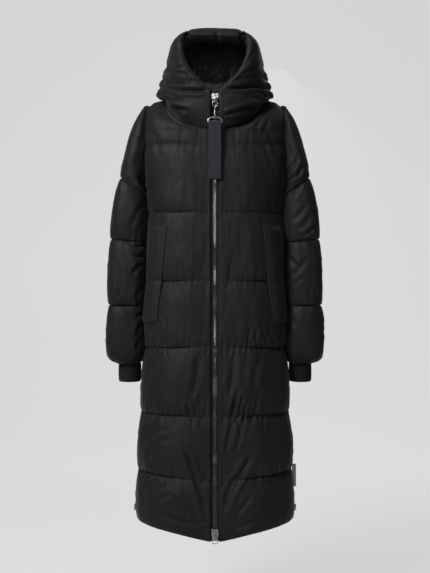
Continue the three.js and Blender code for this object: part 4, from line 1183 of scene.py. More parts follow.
@dataclass
class BodyFolds:
    """The body's gathers, drag folds and small unevenness, all round."""

    strength: tuple[float, ...] = (1.0, 2.6, 2.9, 2.6, 2.1, 1.3, 0.7)
    reach: tuple[float, ...] = (22.0, 40.0, 46.0, 44.0, 36.0, 30.0, 34.0)
    long_folds: float = 0.75
    channel_height: float = 165.0
    deepen: float = 1.5
    front: tuple[Crease, ...] = ()
    back: tuple[Crease, ...] = ()
    sides: tuple[Crease, ...] = ()
    seed: int = 11

    def gathers(self, body: QuiltedBody, points: Array, is_front: bool, sign: int) -> Array:
        """Folds at the sewn lines.

        Args:
            body: the body.
            points: the surface's points.
            is_front: whether the panel is a front.
            sign: 1 on the wearer's left and -1 on the right.

        Returns:
            A distance for each point.
        """
        run = lengths(points, 1)
        total = np.zeros(run.shape)
        for number, (strength, reach) in enumerate(zip(self.strength, self.reach)):
            rise = (body.line[:, None] - number) * self.channel_height * np.ones_like(run)
            rows = np.abs(rise[:, 0]) < 2.6 * reach
            side = 1.25 if is_front and sign > 0 else 1.0
            seed = self.seed + 17 * number + (5 if is_front else 0) + (2 if sign > 0 else 0)
            folds = Gathers(1.25 * strength * side, reach, reach * 0.42, 11.5, 0.3, seed)
            total[rows] += folds.relief(run[rows], rise[rows])
            long = Gathers(self.long_folds * strength, 2.4 * reach, reach * 0.8, 52.0, 0.22, seed + 7)
            rows = np.abs(rise[:, 0]) < 6.0 * reach
            total[rows] += long.relief(run[rows], rise[rows])
        return total

    def relief(self, body: QuiltedBody, points: Array, normals: Array, is_front: bool, sign: int) -> Array:
        """All of the folds on one panel.

        Args:
            body: the body.
            points: the surface's points.
            normals: its unit normals.
            is_front: whether the panel is a front.
            sign: 1 on the wearer's left and -1 on the right.

        Returns:
            A distance for each point.
        """
        total = self.gathers(body, points, is_front, sign)
        for crease in (self.front if is_front else self.back) + self.sides:
            total += self.deepen * crease.relief(points, normals)
        x, y, z = points[..., 0], points[..., 1], points[..., 2]
        round_it = np.where(np.abs(y) > 60, x, x + np.sign(y) * np.sign(x) * (np.abs(y) - 60))
        uneven = Unevenness(self.seed + (3 if is_front else 4))
        total += 1.8 * uneven.rough(round_it / 62.0, z / 95.0)
        total += 0.45 * uneven.rough(round_it / 8.0 + 31, z / 84.0) * smooth((z + 620) / 300)
        total += 0.7 * uneven.rough(round_it / 17.0 + 9, z / 48.0)
        return total

    def lining(self, points: Array) -> Array:
        """Shallow folds of the lining, in millimetres towards the padding.

        Args:
            points: the surface's points.

        Returns:
            A distance for each point.
        """
        uneven = Unevenness(self.seed + 9)
        around = np.arctan2(points[..., 1], points[..., 0]) * 150.0
        return 1.6 * (uneven.crumple(around / 40.0 + 40, points[..., 2] / 90.0 + 40) - 0.5)


def front_creases() -> tuple[Crease, ...]:
    """The drag folds that show on the front, in the places where they show."""
    drawn = [
        # towards the zip above and below the lowest sewn line
        ([(186, 452), (196, 478), (207, 513)], 4.2, 5.5),
        ([(181, 440), (189, 458), (194, 468)], 2.6, 4.0),
        ([(172, 492), (180, 505), (190, 515)], 2.2, 4.5),
        ([(181, 489), (189, 501), (198, 511)], 2.0, 4.0),
        ([(252, 454), (240, 474), (231, 486), (222, 513)], 4.4, 5.5),
        ([(241, 474), (234, 490), (226, 510)], 3.2, 4.0),
        ([(248, 468), (240, 482), (236, 488)], 2.4, 3.6),
        ([(252, 494), (243, 506), (236, 514)], 2.0, 4.5),
        # beside the zip at the second sewn line
        ([(184, 404), (190, 412), (193, 419)], 2.8, 3.8),
        ([(190, 396), (195, 408), (198, 418)], 2.4, 3.8),
        ([(239, 388), (235, 404), (232, 418)], 3.4, 4.2),
        ([(243, 392), (240, 408), (238, 420)], 3.0, 3.6),
        ([(246, 402), (244, 414), (244, 424)], 2.2, 3.4),
        ([(233, 420), (229, 436), (226, 452)], 2.6, 4.5),
        ([(241, 424), (240, 436), (236, 450)], 2.2, 4.2),
        # from the side seams down into the two lowest channels
        ([(140, 444), (147, 432), (158, 424)], 3.0, 6.0),
        ([(139, 452), (149, 438), (166, 428)], 2.6, 6.0),
        ([(144, 461), (153, 446), (170, 436)], 1.8, 6.5),
        ([(139, 500), (146, 489), (158, 480)], 2.8, 6.0),
        ([(141, 507), (152, 494), (168, 484)], 2.2, 6.5),
        ([(146, 512), (158, 500), (172, 493)], 1.6, 6.0),
        ([(287, 447), (279, 434), (268, 425)], 2.6, 6.0),
        ([(289, 498), (280, 486), (266, 480)], 2.4, 6.5),
        # third channel from the hem
        ([(199, 352), (197, 376), (192, 398)], 2.0, 7.0),
        ([(234, 352), (233, 372), (229, 396)], 2.2, 6.5),
        ([(262, 356), (256, 372), (254, 388)], 1.6, 7.0),
        ([(152, 398), (156, 384), (166, 370)], 1.6, 7.5),
        # under the pocket welts
        ([(160, 322), (157, 334), (153, 345)], 2.8, 4.5),
        ([(166, 316), (164, 330), (165, 343)], 1.8, 4.5),
        ([(268, 324), (271, 334), (276, 345)], 3.0, 4.5),
        ([(262, 322), (266, 334), (268, 345)], 2.0, 4.2),
        ([(252, 326), (250, 336), (247, 346)], 1.8, 4.0),
        ([(258, 330), (255, 338), (250, 346)], 1.6, 3.6),
        # from the armholes over the chest, faint
        ([(284, 166), (276, 150), (268, 126)], 1.8, 6.0),
        ([(279, 176), (271, 158), (264, 140)], 1.4, 5.5),
        ([(150, 128), (156, 140), (160, 158)], 1.2, 7.0),
        ([(249, 120), (256, 110), (264, 104)], 2.2, 5.0),
        ([(256, 128), (262, 116), (268, 106)], 1.8, 4.5),
        ([(262, 136), (268, 122), (273, 110)], 1.4, 4.5),
        # hem, towards the bottom of the zip
        ([(158, 512), (176, 519), (192, 523)], 1.8, 5.0),
        ([(262, 517), (247, 523), (233, 527)], 2.0, 5.0),
        ([(183, 520), (196, 522), (207, 521)], 1.6, 4.0),
    ]
    return tuple(Crease(tuple(seen(*spot) for spot in path), depth, width) for path, depth, width in drawn)


def back_creases() -> tuple[Crease, ...]:
    """Drag folds of the back, alike in kind to those of the front."""
    drawn = [
        ([(-150, -905), (-120, -868), (-70, -842)], 2.8, 7.0),
        ([(-158, -930), (-112, -890), (-58, -872)], 2.0, 6.5),
        ([(152, -900), (118, -866), (76, -836)], 2.6, 6.5),
        ([(-150, -1040), (-118, -1004), (-66, -978)], 2.6, 6.5),
        ([(150, -1052), (122, -1010), (78, -984)], 2.4, 7.0),
        ([(-30, -925), (-14, -965), (-6, -1030)], 2.8, 6.0),
        ([(34, -915), (22, -960), (8, -1040)], 2.6, 6.0),
        ([(52, -990), (40, -1030), (36, -1070)], 1.8, 5.0),
        ([(-22, -770), (-14, -800), (-18, -842)], 2.4, 5.5),
        ([(26, -760), (18, -802), (24, -850)], 2.2, 5.5),
        ([(-120, -600), (-104, -560), (-84, -500)], 2.0, 8.0),
        ([(116, -610), (102, -566), (88, -520)], 1.8, 8.0),
        ([(-150, -420), (-110, -390), (-60, -372)], 2.2, 8.0),
        ([(148, -430), (104, -396), (58, -380)], 2.0, 8.0),
        ([(-140, -250), (-110, -200), (-96, -150)], 2.0, 7.0),
        ([(142, -246), (112, -204), (100, -140)], 2.0, 7.0),
        ([(-90, -40), (-60, -62), (-20, -70)], 1.8, 7.0),
        ([(92, -38), (64, -58), (18, -66)], 1.6, 7.0),
    ]
    return tuple(Crease(tuple(path), depth, width, side=Side.BACK) for path, depth, width in drawn)


def side_creases() -> tuple[Crease, ...]:
    """Folds that run round the side seams."""
    drawn = [
        (Side.LEFT, [(-70, -905), (-20, -870), (40, -858)], 2.4, 6.5),
        (Side.LEFT, [(60, -1030), (10, -1000), (-50, -992)], 2.2, 6.5),
        (Side.LEFT, [(-60, -735), (0, -712), (60, -720)], 1.8, 7.0),
        (Side.LEFT, [(50, -560), (0, -540), (-48, -548)], 1.8, 7.0),
        (Side.LEFT, [(-54, -390), (-6, -362), (48, -372)], 2.2, 7.0),
        (Side.RIGHT, [(66, -900), (18, -872), (-48, -866)], 2.4, 6.5),
        (Side.RIGHT, [(-62, -1036), (-8, -1008), (52, -996)], 2.2, 6.5),
        (Side.RIGHT, [(58, -730), (2, -716), (-58, -724)], 1.8, 7.0),
        (Side.RIGHT, [(-52, -566), (-2, -548), (46, -540)], 1.8, 7.0),
        (Side.RIGHT, [(50, -384), (4, -366), (-50, -376)], 2.2, 7.0),
    ]
    return tuple(Crease(tuple(path), depth, width, side=side) for side, path, depth, width in drawn)


@dataclass
class BodyShells:
    """The body's shell pieces and their sewing."""

    body: QuiltedBody = field(default_factory=QuiltedBody)
    folds: BodyFolds = field(
        default_factory=lambda: BodyFolds(front=front_creases(), back=back_creases(), sides=side_creases())
    )

    def __post_init__(self) -> None:
        """Works out the four panels."""
        made = [self.body.panel(is_front, sign, self.folds) for is_front in (True, False) for sign in (1, -1)]
        self.front_left, self.front_right, self.back_left, self.back_right = made

    def sewing(self, panel: Panel, is_front: bool) -> Skin:
        """Stitches in a panel's sewn lines, above its hem, and beside the zip on a front.

        Args:
            panel: the panel.
            is_front: whether the panel is a front.

        Returns:
            The stitches as a skin.
        """
        rows = [
            (panel.outer[panel.row_of(k), 1:-1], panel.normals[panel.row_of(k), 1:-1]) for k in range(1, 7)
        ]
        rows.append((panel.outer[5, 1:-1], panel.normals[5, 1:-1]))
        if is_front:
            stop = panel.row_of(6.05)
            rows.append((panel.outer[2:stop, 2], panel.normals[2:stop, 2]))
        return together([stitches(line, normals) for line, normals in rows]).on_side(panel.sign)

    def build(self, finishes: Wardrobe) -> None:
        """Makes the panels' pieces.

        Args:
            finishes: the coat's finishes.
        """
        shell = [finishes.shell, finishes.lining]
        for name, panel in (("left", self.front_left), ("right", self.front_right)):
            skin = wall(panel.outer, panel.inside, roll=Roll(bottom=2.6, start=1.6)).on_side(panel.sign)
            stands_for = tuple(f"front_{name}_{block}" for block in BLOCKS)
            piece = put(f"front_panel_{name}", skin, shell, COAT, stands_for)
            put(f"front_sewing_{name}", self.sewing(panel, True), [finishes.thread], COAT)
        outer = np.concatenate([self.back_right.outer[:, :0:-1] * [-1, 1, 1], self.back_left.outer], 1)
        inside = np.concatenate([self.back_right.inside[:, :0:-1] * [-1, 1, 1], self.back_left.inside], 1)
        middle = self.body.back_columns
        outer[:, middle] = (self.back_right.outer[:, 0] * [-1, 1, 1] + self.back_left.outer[:, 0]) / 2
        self.add_back(outer, inside, shell)
        sewing = self.sewing(self.back_left, False).joined(self.sewing(self.back_right, False))
        put("back_sewing", sewing, [finishes.thread], COAT)

    def add_back(self, outer: Array, inside: Array, shell: list[Material]) -> None:
        """Makes the back from its whole part up to the nape and a shoulder part each side.

        Args:
            outer: both halves' outer face.
            inside: both halves' inner face.
            shell: the shell's and the lining's finish.
        """
        middle = self.body.back_columns
        neck_row = self.body.first_turn + int(self.body.back_neck * self.body.armhole_steps)
        low = wall(outer[: neck_row + 1, ::-1], inside[: neck_row + 1, ::-1], roll=Roll(bottom=2.6))
        left = wall(outer[neck_row:, middle:][:, ::-1], inside[neck_row:, middle:][:, ::-1])
        right = wall(outer[neck_row:, : middle + 1][:, ::-1], inside[neck_row:, : middle + 1][:, ::-1])
        stands_for = tuple(f"back_{block}" for block in BLOCKS)
        piece = put("back_panel", low.joined(left).joined(right), shell, COAT, stands_for)


# Sleeves and cuffs


@dataclass
class QuiltedSleeve:
    """A sleeve of wide channels, from the armhole to the cuff."""

    rings: tuple[tuple[float, ...], ...] = (
        (190, -42, 185, -230, 66, 0.25),
        (208, -88, 187, -237, 70, 0.5),
        (224, -142, 187.5, -241, 72, 0.75),
        (238, -198, 188, -243, 72, 1.0),
        (246, -236, 188.5, -270, 72, 1.22),
        (254, -282, 189, -304, 72, 1.5),
        (259, -324, 189.5, -338, 71, 1.78),
        (262, -356, 190, -364, 70, 2.0),
        (264, -393, 191, -399, 70, 2.22),
        (266, -440, 192, -443, 69, 2.5),
        (267, -488, 193, -490, 68, 2.78),
        (268, -525, 194, -525, 67, 3.0),
        (270, -556, 195, -556, 66, 3.22),
        (271, -594, 193, -594, 64, 3.5),
        (272, -632, 192.5, -632, 62, 3.78),
        (268, -658, 193, -658, 55, 3.96),
    )
    cuff_x: float = 221.0
    cuff_top: float = -672.0
    cuff_half: tuple[float, float] = (25.0, 41.0)
    power: float = 0.58
    head_gap: float = 0.7
    flare: float = 0.9
    columns: int = 124
    channel_steps: int = 40
    fill_face: float = 13.0
    fill_out: float = 8.0
    fill_in: float = 11.0
    seam_wall: float = 3.0
    end_wall: float = 4.0
    channel_height: float = 158.0

    def loop(self, ring: Array, power: float) -> Array:
        """One ring of points, from the underarm over the front to the shoulder and down the back.

        Args:
            ring: two corner points, a depth and a place.
            power: how round the ring is.

        Returns:
            The ring's points.
        """
        out_x, out_z, in_x, in_z, depth = ring[:5]
        angle = np.arange(self.columns) * 2 * math.pi / self.columns
        lean = np.sign(np.cos(angle)) * np.abs(np.cos(angle)) ** power
        side = np.sign(np.sin(angle)) * np.abs(np.sin(angle)) ** power
        up = (1 - lean) / 2
        return np.stack([mix(in_x, out_x, up), -depth * side, mix(in_z, out_z, up)], -1)

    def head(self, front: Panel, back: Panel) -> Array:
        """The ring on the armhole edge of the body's outer face.

        Args:
            front: the front panel on this side.
            back: the back panel on this side.

        Returns:
            The ring's points.
        """
        angle = np.arange(self.columns) * 2 / self.columns
        turn = np.where(angle <= 1, angle, 2 - angle)
        body, first = front.body, front.body.first_turn
        fore, aft = (read_at(panel.outer[first:, -1], body.turn[first:], turn) for panel in (front, back))
        ring = np.where((angle <= 1)[:, None], fore, aft)
        ring[:, 0] += self.head_gap
        ring[[0, self.columns // 2], 1] = 0
        return ring

    def table(self, front: Panel, back: Panel) -> Array:
        """The sleeve's main rings, from the armhole to the cuff.

        Args:
            front: the front panel on this side.
            back: the back panel on this side.

        Returns:
            Rings x columns x 3 points.
        """
        table = [self.head(front, back)]
        table += [self.loop(np.array(ring), self.power) for ring in self.rings]
        out, wrist = self.cuff_half
        end = np.array([self.cuff_x + out, self.cuff_top, self.cuff_x - out, self.cuff_top, wrist])
        return np.array([*table, self.loop(end, 1.0)])

    def rows(self) -> Array:
        """The channel place of each row of points, crowded towards the sewn lines."""
        share = np.arange(self.channel_steps) / self.channel_steps
        crowded = share - 0.4 * np.sin(2 * math.pi * share) / (2 * math.pi)
        return np.concatenate([k + crowded for k in range(4)] + [[4.0]])

    def padding(self, place: Array, channel: Array, normals: Array, towards: Array, away: Array) -> Array:
        """The wall's thickness before its folds.

        Args:
            place: each row's place among the main rings.
            channel: each row's place among the channels.
            normals: the inner face's normals.
            towards: how far each column faces the body.
            away: how far each column faces out.

        Returns:
            A thickness for each point.
        """
        fill = self.fill_face * (1 - towards - away) + self.fill_in * towards + self.fill_out * away
        outward = np.maximum(0.1, 1 + 1.4 * np.minimum(0, normals[..., 0]))
        slim = np.where((place <= 3)[:, None], outward, 1.0)
        wide = puff(1 - (channel - np.floor(channel)), 0.32, 0.86)[:, None]
        first = channel < 1
        near_head = channel[first, None]
        at_head = smooth(near_head / 0.045) * 0.8 * smooth((0.7 - near_head) / 0.3)
        wide[first] = np.maximum(wide[first], at_head)
        row = channel[:, None]
        pressed = towards[None] * smooth((row - 0.2) / 0.4) * smooth((3.95 - row) / 0.1)
        thick = self.seam_wall + fill[None] * slim * mix(wide, 1.0, 0.9 * pressed)
        thick[-1] = self.end_wall
        return thick

    def surfaces(
        self, front: Panel, back: Panel, creases: tuple[Crease, ...], sign: int, seed: int
    ) -> tuple[Array, Array, Array, Array]:
        """The sleeve's outer and inner faces, its normals and the channel place of each row.

        Args:
            front: the front panel on this side.
            back: the back panel on this side.
            creases: the creases drawn on this piece.
            sign: 1 on the wearer's left and -1 on the right.
            seed: number that its unevenness starts from.

        Returns:
            The outer and inner faces, the normals and the channel places.
        """
        channels = np.array([0.0, *(ring[5] for ring in self.rings), 4.0])
        channel = self.rows()
        place = np.interp(channel, channels, np.arange(len(channels)))
        inner = catmull(self.table(front, back), place)
        normals = grid_normals(inner, -1.0, True)
        middle = front.body.armhole.at(np.array([0.5]))[0][2]
        head = unit(inner[0] * [0, 1, 1] - [0, 0, middle])
        normals[0] = unit(head + [self.flare, 0, 0])
        normals[-1] = unit(normals[-1] * [1, 1, 0])
        angle = np.arange(self.columns) * 2 * math.pi / self.columns
        towards, away = np.maximum(0, np.cos(angle)) ** 2, np.maximum(0, -np.cos(angle)) ** 2
        thick = self.padding(place, channel, normals, towards, away)
        flip = np.array([sign, 1.0, 1.0])
        base = inner + normals * thick[..., None]
        relief = self.relief(base * flip, normals * flip, channel, creases, seed)
        tight = 1 - 0.75 * towards[None] * smooth((1.3 - channel[:, None]) / 0.5)
        relief *= tight * smooth((channel[:, None]) / 0.12)
        relief = np.maximum(relief, 1.4 - thick)
        outer = base + normals * relief[..., None]
        around, up = angle[None] * 60 / 34.0 + 0 * relief, inner[..., 2] / 60.0 + 40
        crumple = Unevenness(seed + 2).crumple(around, up)
        free = smooth(channel / 0.2)[:, None] * smooth((4 - channel) / 0.2)[:, None]
        inside = inner + normals * (1.5 * (crumple - 0.4) * free)[..., None]
        return outer, inside, normals, channel

    def relief(
        self, points: Array, normals: Array, channel: Array, creases: tuple[Crease, ...], seed: int
    ) -> Array:
        """Gathers, creases and unevenness of one sleeve.

        Args:
            points: the surface's points.
            normals: its unit normals.
            channel: each row's place among the channels.
            creases: the creases drawn on this piece.
            seed: number that its unevenness starts from.

        Returns:
            A distance for each point.
        """
        wide = np.concatenate([points, points[:, :1]], 1)
        run = lengths(wide, 1)[:, :-1]
        total = np.zeros(run.shape)
        for number, (strength, reach) in enumerate([(0.9, 26), (2.0, 32), (2.7, 36), (2.7, 34), (4.0, 28)]):
            rise = (number - channel[:, None]) * self.channel_height * np.ones_like(run)
            rows = np.abs(rise[:, 0]) < 2.6 * reach
            folds = Gathers(strength, reach, reach * 0.45, 14.0, 0.35, seed + 13 * number)
            total[rows] += folds.relief(run[rows], rise[rows])
        for crease in creases:
            total += 1.6 * crease.relief(points, normals)
        uneven = Unevenness(seed + 1)
        total += 1.8 * uneven.rough(run / 48.0, points[..., 2] / 70.0)
        total += 0.8 * uneven.rough(run / 13.0, points[..., 2] / 40.0)
        return total


@dataclass(frozen=True)
class KnitCuff:
    """A ribbed knit cuff, sewn into the gathered end of the sleeve and folded at its mouth."""

    x: float = 221.0
    top: float = -672.3
    bottom: float = -721.0
    half: tuple[float, float] = (25.0, 41.0)
    wall: float = 3.0
    ribs: int = 58
    relief: float = 0.75
    rows: int = 12

    def skin(self) -> Skin:
        """The cuff's wall."""
        columns = self.ribs * 6
        angle = np.arange(columns) * 2 * math.pi / columns
        share = np.linspace(0, 1, self.rows)[:, None]
        rib = self.relief * np.tanh(2.2 * np.cos(angle * self.ribs))[None]
        rib = rib * smooth(share / 0.08) * smooth((1 - share) / 0.05)
        belly = 0.8 * np.sin(share * math.pi) + 0.3 * np.sin(3 * angle + 1)[None] * share
        height = mix(self.top, self.bottom, share) + 0 * rib
        outer = self.ring(angle, self.wall + rib + belly, height)
        inner = self.ring(angle, 0.5 * rib + belly, height)
        return wall(outer, inner, closed=True, roll=Roll(bottom=0.3, top=1.4), lining=0)

    def ring(self, angle: Array, out: Array, height: Array) -> Array:
        """Points round the cuff, moved out from its inside size."""
        x, y = (self.half[0] + out) * np.cos(angle), (self.half[1] + out) * np.sin(angle)
        return np.stack([self.x + x, y, height], -1)


def sleeve_creases(sign: int) -> tuple[Crease, ...]:
    """The creases of one sleeve, the elbow's drawn where they show.

    Args:
        sign: 1 on the wearer's left and -1 on the right.

    Returns:
        The creases.
    """
    if sign > 0:
        drawn = [
            ([(284, 176), (292, 168), (298, 158)], 3.4, 4.5),
            ([(285, 180), (295, 177), (304, 166)], 3.0, 4.0),
            ([(288, 200), (296, 192), (300, 184)], 1.8, 5.0),
            ([(286, 252), (292, 262), (298, 268)], 3.0, 4.5),
            ([(290, 222), (300, 214), (306, 204)], 1.8, 5.0),
            ([(296, 230), (305, 224), (312, 212)], 1.6, 5.0),
            ([(290, 276), (298, 270), (306, 258)], 2.0, 5.5),
            ([(286, 288), (294, 284), (302, 276)], 1.8, 4.5),
            ([(302, 236), (309, 232), (316, 225)], 2.4, 4.0),
            ([(292, 318), (298, 330), (300, 344)], 1.4, 6.0),
            ([(300, 140), (306, 156), (309, 172)], 1.6, 7.0),
        ]
    else:
        drawn = [
            ([(146, 252), (140, 257), (133, 254)], 3.2, 4.0),
            ([(146, 262), (139, 266), (132, 276)], 2.6, 4.5),
            ([(147, 244), (137, 247), (128, 242)], 2.2, 4.0),
            ([(146, 284), (140, 290), (137, 300)], 2.4, 4.5),
            ([(146, 318), (140, 326), (138, 338)], 2.8, 4.5),
            ([(144, 334), (139, 342), (137, 352)], 2.4, 4.0),
            ([(146, 200), (138, 214), (130, 230)], 1.6, 6.0),
            ([(118, 262), (121, 282), (120, 298)], 1.4, 7.0),
            ([(146, 308), (141, 314), (136, 316)], 2.2, 4.0),
            ([(128, 146), (122, 160), (119, 174)], 1.6, 7.0),
        ]
    front = [
        Crease(tuple(seen(*spot, depth=60) for spot in path), depth, width) for path, depth, width in drawn
    ]
    hidden = [
        (Side.BACK, [(205, -250), (226, -232), (246, -214)], 2.6, 5.0),
        (Side.BACK, [(198, -388), (216, -406), (238, -404)], 3.0, 5.0),
        (Side.BACK, [(200, -432), (222, -452), (246, -446)], 2.6, 5.0),
        (Side.BACK, [(204, -330), (226, -318), (252, -322)], 2.0, 6.0),
        (Side.BACK, [(204, -590), (220, -570), (240, -566)], 1.8, 6.0),
        (Side.LEFT, [(-40, -300), (-6, -284), (34, -292)], 2.0, 6.0),
        (Side.LEFT, [(38, -430), (6, -416), (-34, -424)], 2.0, 6.0),
        (Side.LEFT, [(-30, -604), (4, -586), (36, -594)], 1.8, 6.0),
    ]
    for side, path, depth, width in hidden:
        if side is Side.BACK:
            path = [(x * sign, z + (8 if sign < 0 else 0)) for x, z in path]
        elif sign < 0:
            side, path = Side.RIGHT, [(-y, z - 12) for y, z in path]
        front.append(Crease(tuple(path), depth, width, side=side))
    return tuple(front)


@dataclass
class Sleeves:
    """Both sleeves with their cuffs."""

    shape: QuiltedSleeve = field(default_factory=QuiltedSleeve)
    cuff: KnitCuff = KnitCuff()

    def build(self, body: BodyShells, finishes: Wardrobe) -> None:
        """Makes the sleeves, their sewing and the cuffs.

        Args:
            body: the body.
            finishes: the coat's finishes.
        """
        left = ("left", 1, body.front_left, body.back_left, 40)
        right = ("right", -1, body.front_right, body.back_right, 90)
        for name, sign, front, back, seed in (left, right):
            outer, inside, normals, channel = self.shape.surfaces(
                front, back, sleeve_creases(sign), sign, seed
            )
            skin = wall(outer[:, ::-1], inside[:, ::-1], closed=True, roll=Roll(top=2.0)).on_side(sign)
            stands_for = (f"sleeve_{name}_upper", f"sleeve_{name}_lower")
            shell = [finishes.shell, finishes.lining]
            piece = put(f"sleeve_shell_{name}", skin, shell, COAT, stands_for)
            sewing = []
            for place in (1.0, 2.0, 3.0):
                row = int(np.argmin(np.abs(channel - place)))
                line, up = (np.concatenate([grid[row], grid[row, :1]]) for grid in (outer, normals))
                sewing.append(stitches(line, up))
            put(f"sleeve_sewing_{name}", together(sewing).on_side(sign), [finishes.thread], COAT)
            knit = self.cuff.skin().on_side(sign)
            cuff = put(f"knit_cuff_{name}", knit, [finishes.knit], COAT, (f"cuff_{name}",))


# Hood


@dataclass
class Hood:
    """The hood and high collar: two sides and a strip over the crown and down the back."""

    edges: tuple[tuple[float, ...], ...] = (
        (12.5, -132, -66),
        (12.5, -137, -44),
        (12.5, -138, -18),
        (12.5, -136, 9),
        (37.5, -137, 36),
        (62, -134, 63),
        (80, -127, 100),
        (86, -118, 139),
        (73, -109, 166),
    )
    sides: tuple[tuple[float, ...], ...] = (
        (139, 7), (148, 15), (144, 32), (138, 50), (132, 73), (125, 98), (118, 127), (106, 151), (74, 175)
    )
    seams: tuple[tuple[float, ...], ...] = (
        (57, 94, 22),
        (58, 110, 31),
        (59, 117, 45),
        (60, 120, 61),
        (61, 122, 80),
        (62, 120, 104),
        (63, 113, 128),
        (64, 101, 150),
        (62, 78, 169),
    )
    fills: tuple[float, ...] = (14, 17, 18, 17, 18, 18, 18, 18, 16)
    angles: tuple[float, ...] = (0, 27, 54, 81, 108, 144, 180)
    seam_gap: float = 0.6
    seam_wall: float = 4.6
    row_steps: int = 13
    columns: int = 120
    strip_half: int = 24
    crown: float = 10.0
    rim_walls: tuple[float, ...] = (16, 27, 32, 29, 24, 20)
    rim_sinks: tuple[float, ...] = (8, 2, 0, 0, 0, 0)
    crown_wall: float = 16.0
    panel_wall: float = 12.0
    edge_sink: float = 2.5
    edge_wall: float = 15.0
    nape: tuple[Array, Array] = field(init=False)

    def neck_seam(self, front: Panel, back: Panel) -> tuple[Array, Array]:
        """Outer and inner points of the neck seam, at places spaced as the side's columns.

        Args:
            front: the front panel on this side.
            back: the back panel on this side.

        Returns:
            Two rows of points.
        """
        body, first = front.body, front.body.first_turn
        steps = 10
        turns_front = np.linspace(body.front_neck, 1, 5)
        turns_back = np.linspace(1, body.back_neck, 4)[1:]
        turns = body.turn[first:]
        fore, aft = read_at(front.inner[first:, 0], turns, turns_front), read_at(
            back.inner[first:, 0], turns, turns_back
        )
        at = np.concatenate([fore, aft])
        at[4, 1] = body.neck.side_y
        fore = read_at(front.normals[first:, 0], turns, turns_front)
        aft = read_at(back.normals[first:, 0], turns, turns_back)
        up = unit(np.concatenate([fore, aft]))
        count = len(at)
        k = np.arange(count)
        after, before = at[np.minimum(k + 1, count - 1)], at[np.maximum(k - 1, 0)]
        away = unit(np.cross(up, after - before))
        inwards = np.stack([-at[:, 0], -at[:, 1] / 2, np.full(count, 60.0)], -1)
        away *= np.where((away * inwards).sum(-1) < 0, -1, 1)[:, None]
        inside = at + away * self.seam_gap
        inside[-1, 0] = 0
        outside = inside + up * self.seam_wall
        outside[-1, 0] = 0
        self.nape = (outside[-1], inside[-1])
        places = np.linspace(0, steps - 4, 2 * (steps - 4) + 1)
        return catmull(outside[:-1], places), catmull(inside[:-1], places)

    def turns(self) -> Array:
        """Angles of the side's main columns, with one between each two."""
        main = np.array(self.angles)
        return np.radians(np.interp(np.arange(13) / 2, np.arange(7), main))

    def row_points(self, place: Array, turn: Array) -> Array:
        """The side's outer face at fractional rows (0 on the first row above the neck) and angles.

        Args:
            place: fractional rows.
            turn: angles from the opening round to the seam.

        Returns:
            A grid of points.
        """
        edge, side, seam = (
            catmull(np.array(table, float), place) for table in (self.edges, self.sides, self.seams)
        )
        part, swing = turn / math.pi, np.sin(turn)
        e, s, c = edge[:, None], side[:, None], seam[:, None]
        x = mix(e[..., 0], c[..., 0], part) + (s[..., 0] - (e[..., 0] + c[..., 0]) / 2) * swing**0.9
        y = mix(e[..., 1], c[..., 1], (1 - np.cos(turn)) / 2)
        z = mix(e[..., 2], c[..., 2], part) + (s[..., 1] - (e[..., 2] + c[..., 2]) / 2) * swing
        return np.stack([x, y, z], -1)

    def face(self, front: Panel, back: Panel) -> tuple[Array, Array, Array]:
        """The side's outer face before its folds, the neck seam's inner points and the rows' places.

        Args:
            front: the front panel on this side.
            back: the back panel on this side.

        Returns:
            The face, the neck seam's inner points and the rows' places.
        """
        outside, inside = self.neck_seam(front, back)
        main = self.turns()
        column = np.linspace(0, 12, self.columns + 1)
        turn = np.interp(column, np.arange(13), main)
        rows = np.arange(9, dtype=float)
        table = np.concatenate([catmull(outside, column)[None], self.row_points(rows, turn)])
        place = np.linspace(0, 9, 9 * self.row_steps + 1)
        grid = catmull(table, place)
        return grid, catmull(inside, column), place

    def thickness(self, place: Array, column: Array) -> Array:
        """The side's wall from row to row and round it, in millimetres.

        Args:
            place: each row's place above the neck seam.
            column: each column's place, from the opening's edge.

        Returns:
            A thickness for each point.
        """
        fill = np.interp(place, np.arange(10), [self.seam_wall, *self.fills])[:, None] * np.ones(len(column))
        on_seam = np.maximum(smooth((place[:, None] - 8) / 1.0), smooth((column[None] - 11.2) / 0.8))
        row = place[:, None]
        rim = np.interp(column, np.arange(6), self.rim_walls, right=self.panel_wall / 0.8)[None]
        seam = np.maximum(self.panel_wall, rim * smooth((row - 8.2) / 0.8) * 0.8)
        at_edge = smooth((row - 4.2) / 0.5) * (1 - smooth(column[None] / 1.0)) * (
            1 - smooth((row - 8.4) / 0.6)
        )
        thick = mix(fill, seam, on_seam)
        return mix(thick, self.edge_sink + self.edge_wall, at_edge * (1 - on_seam))


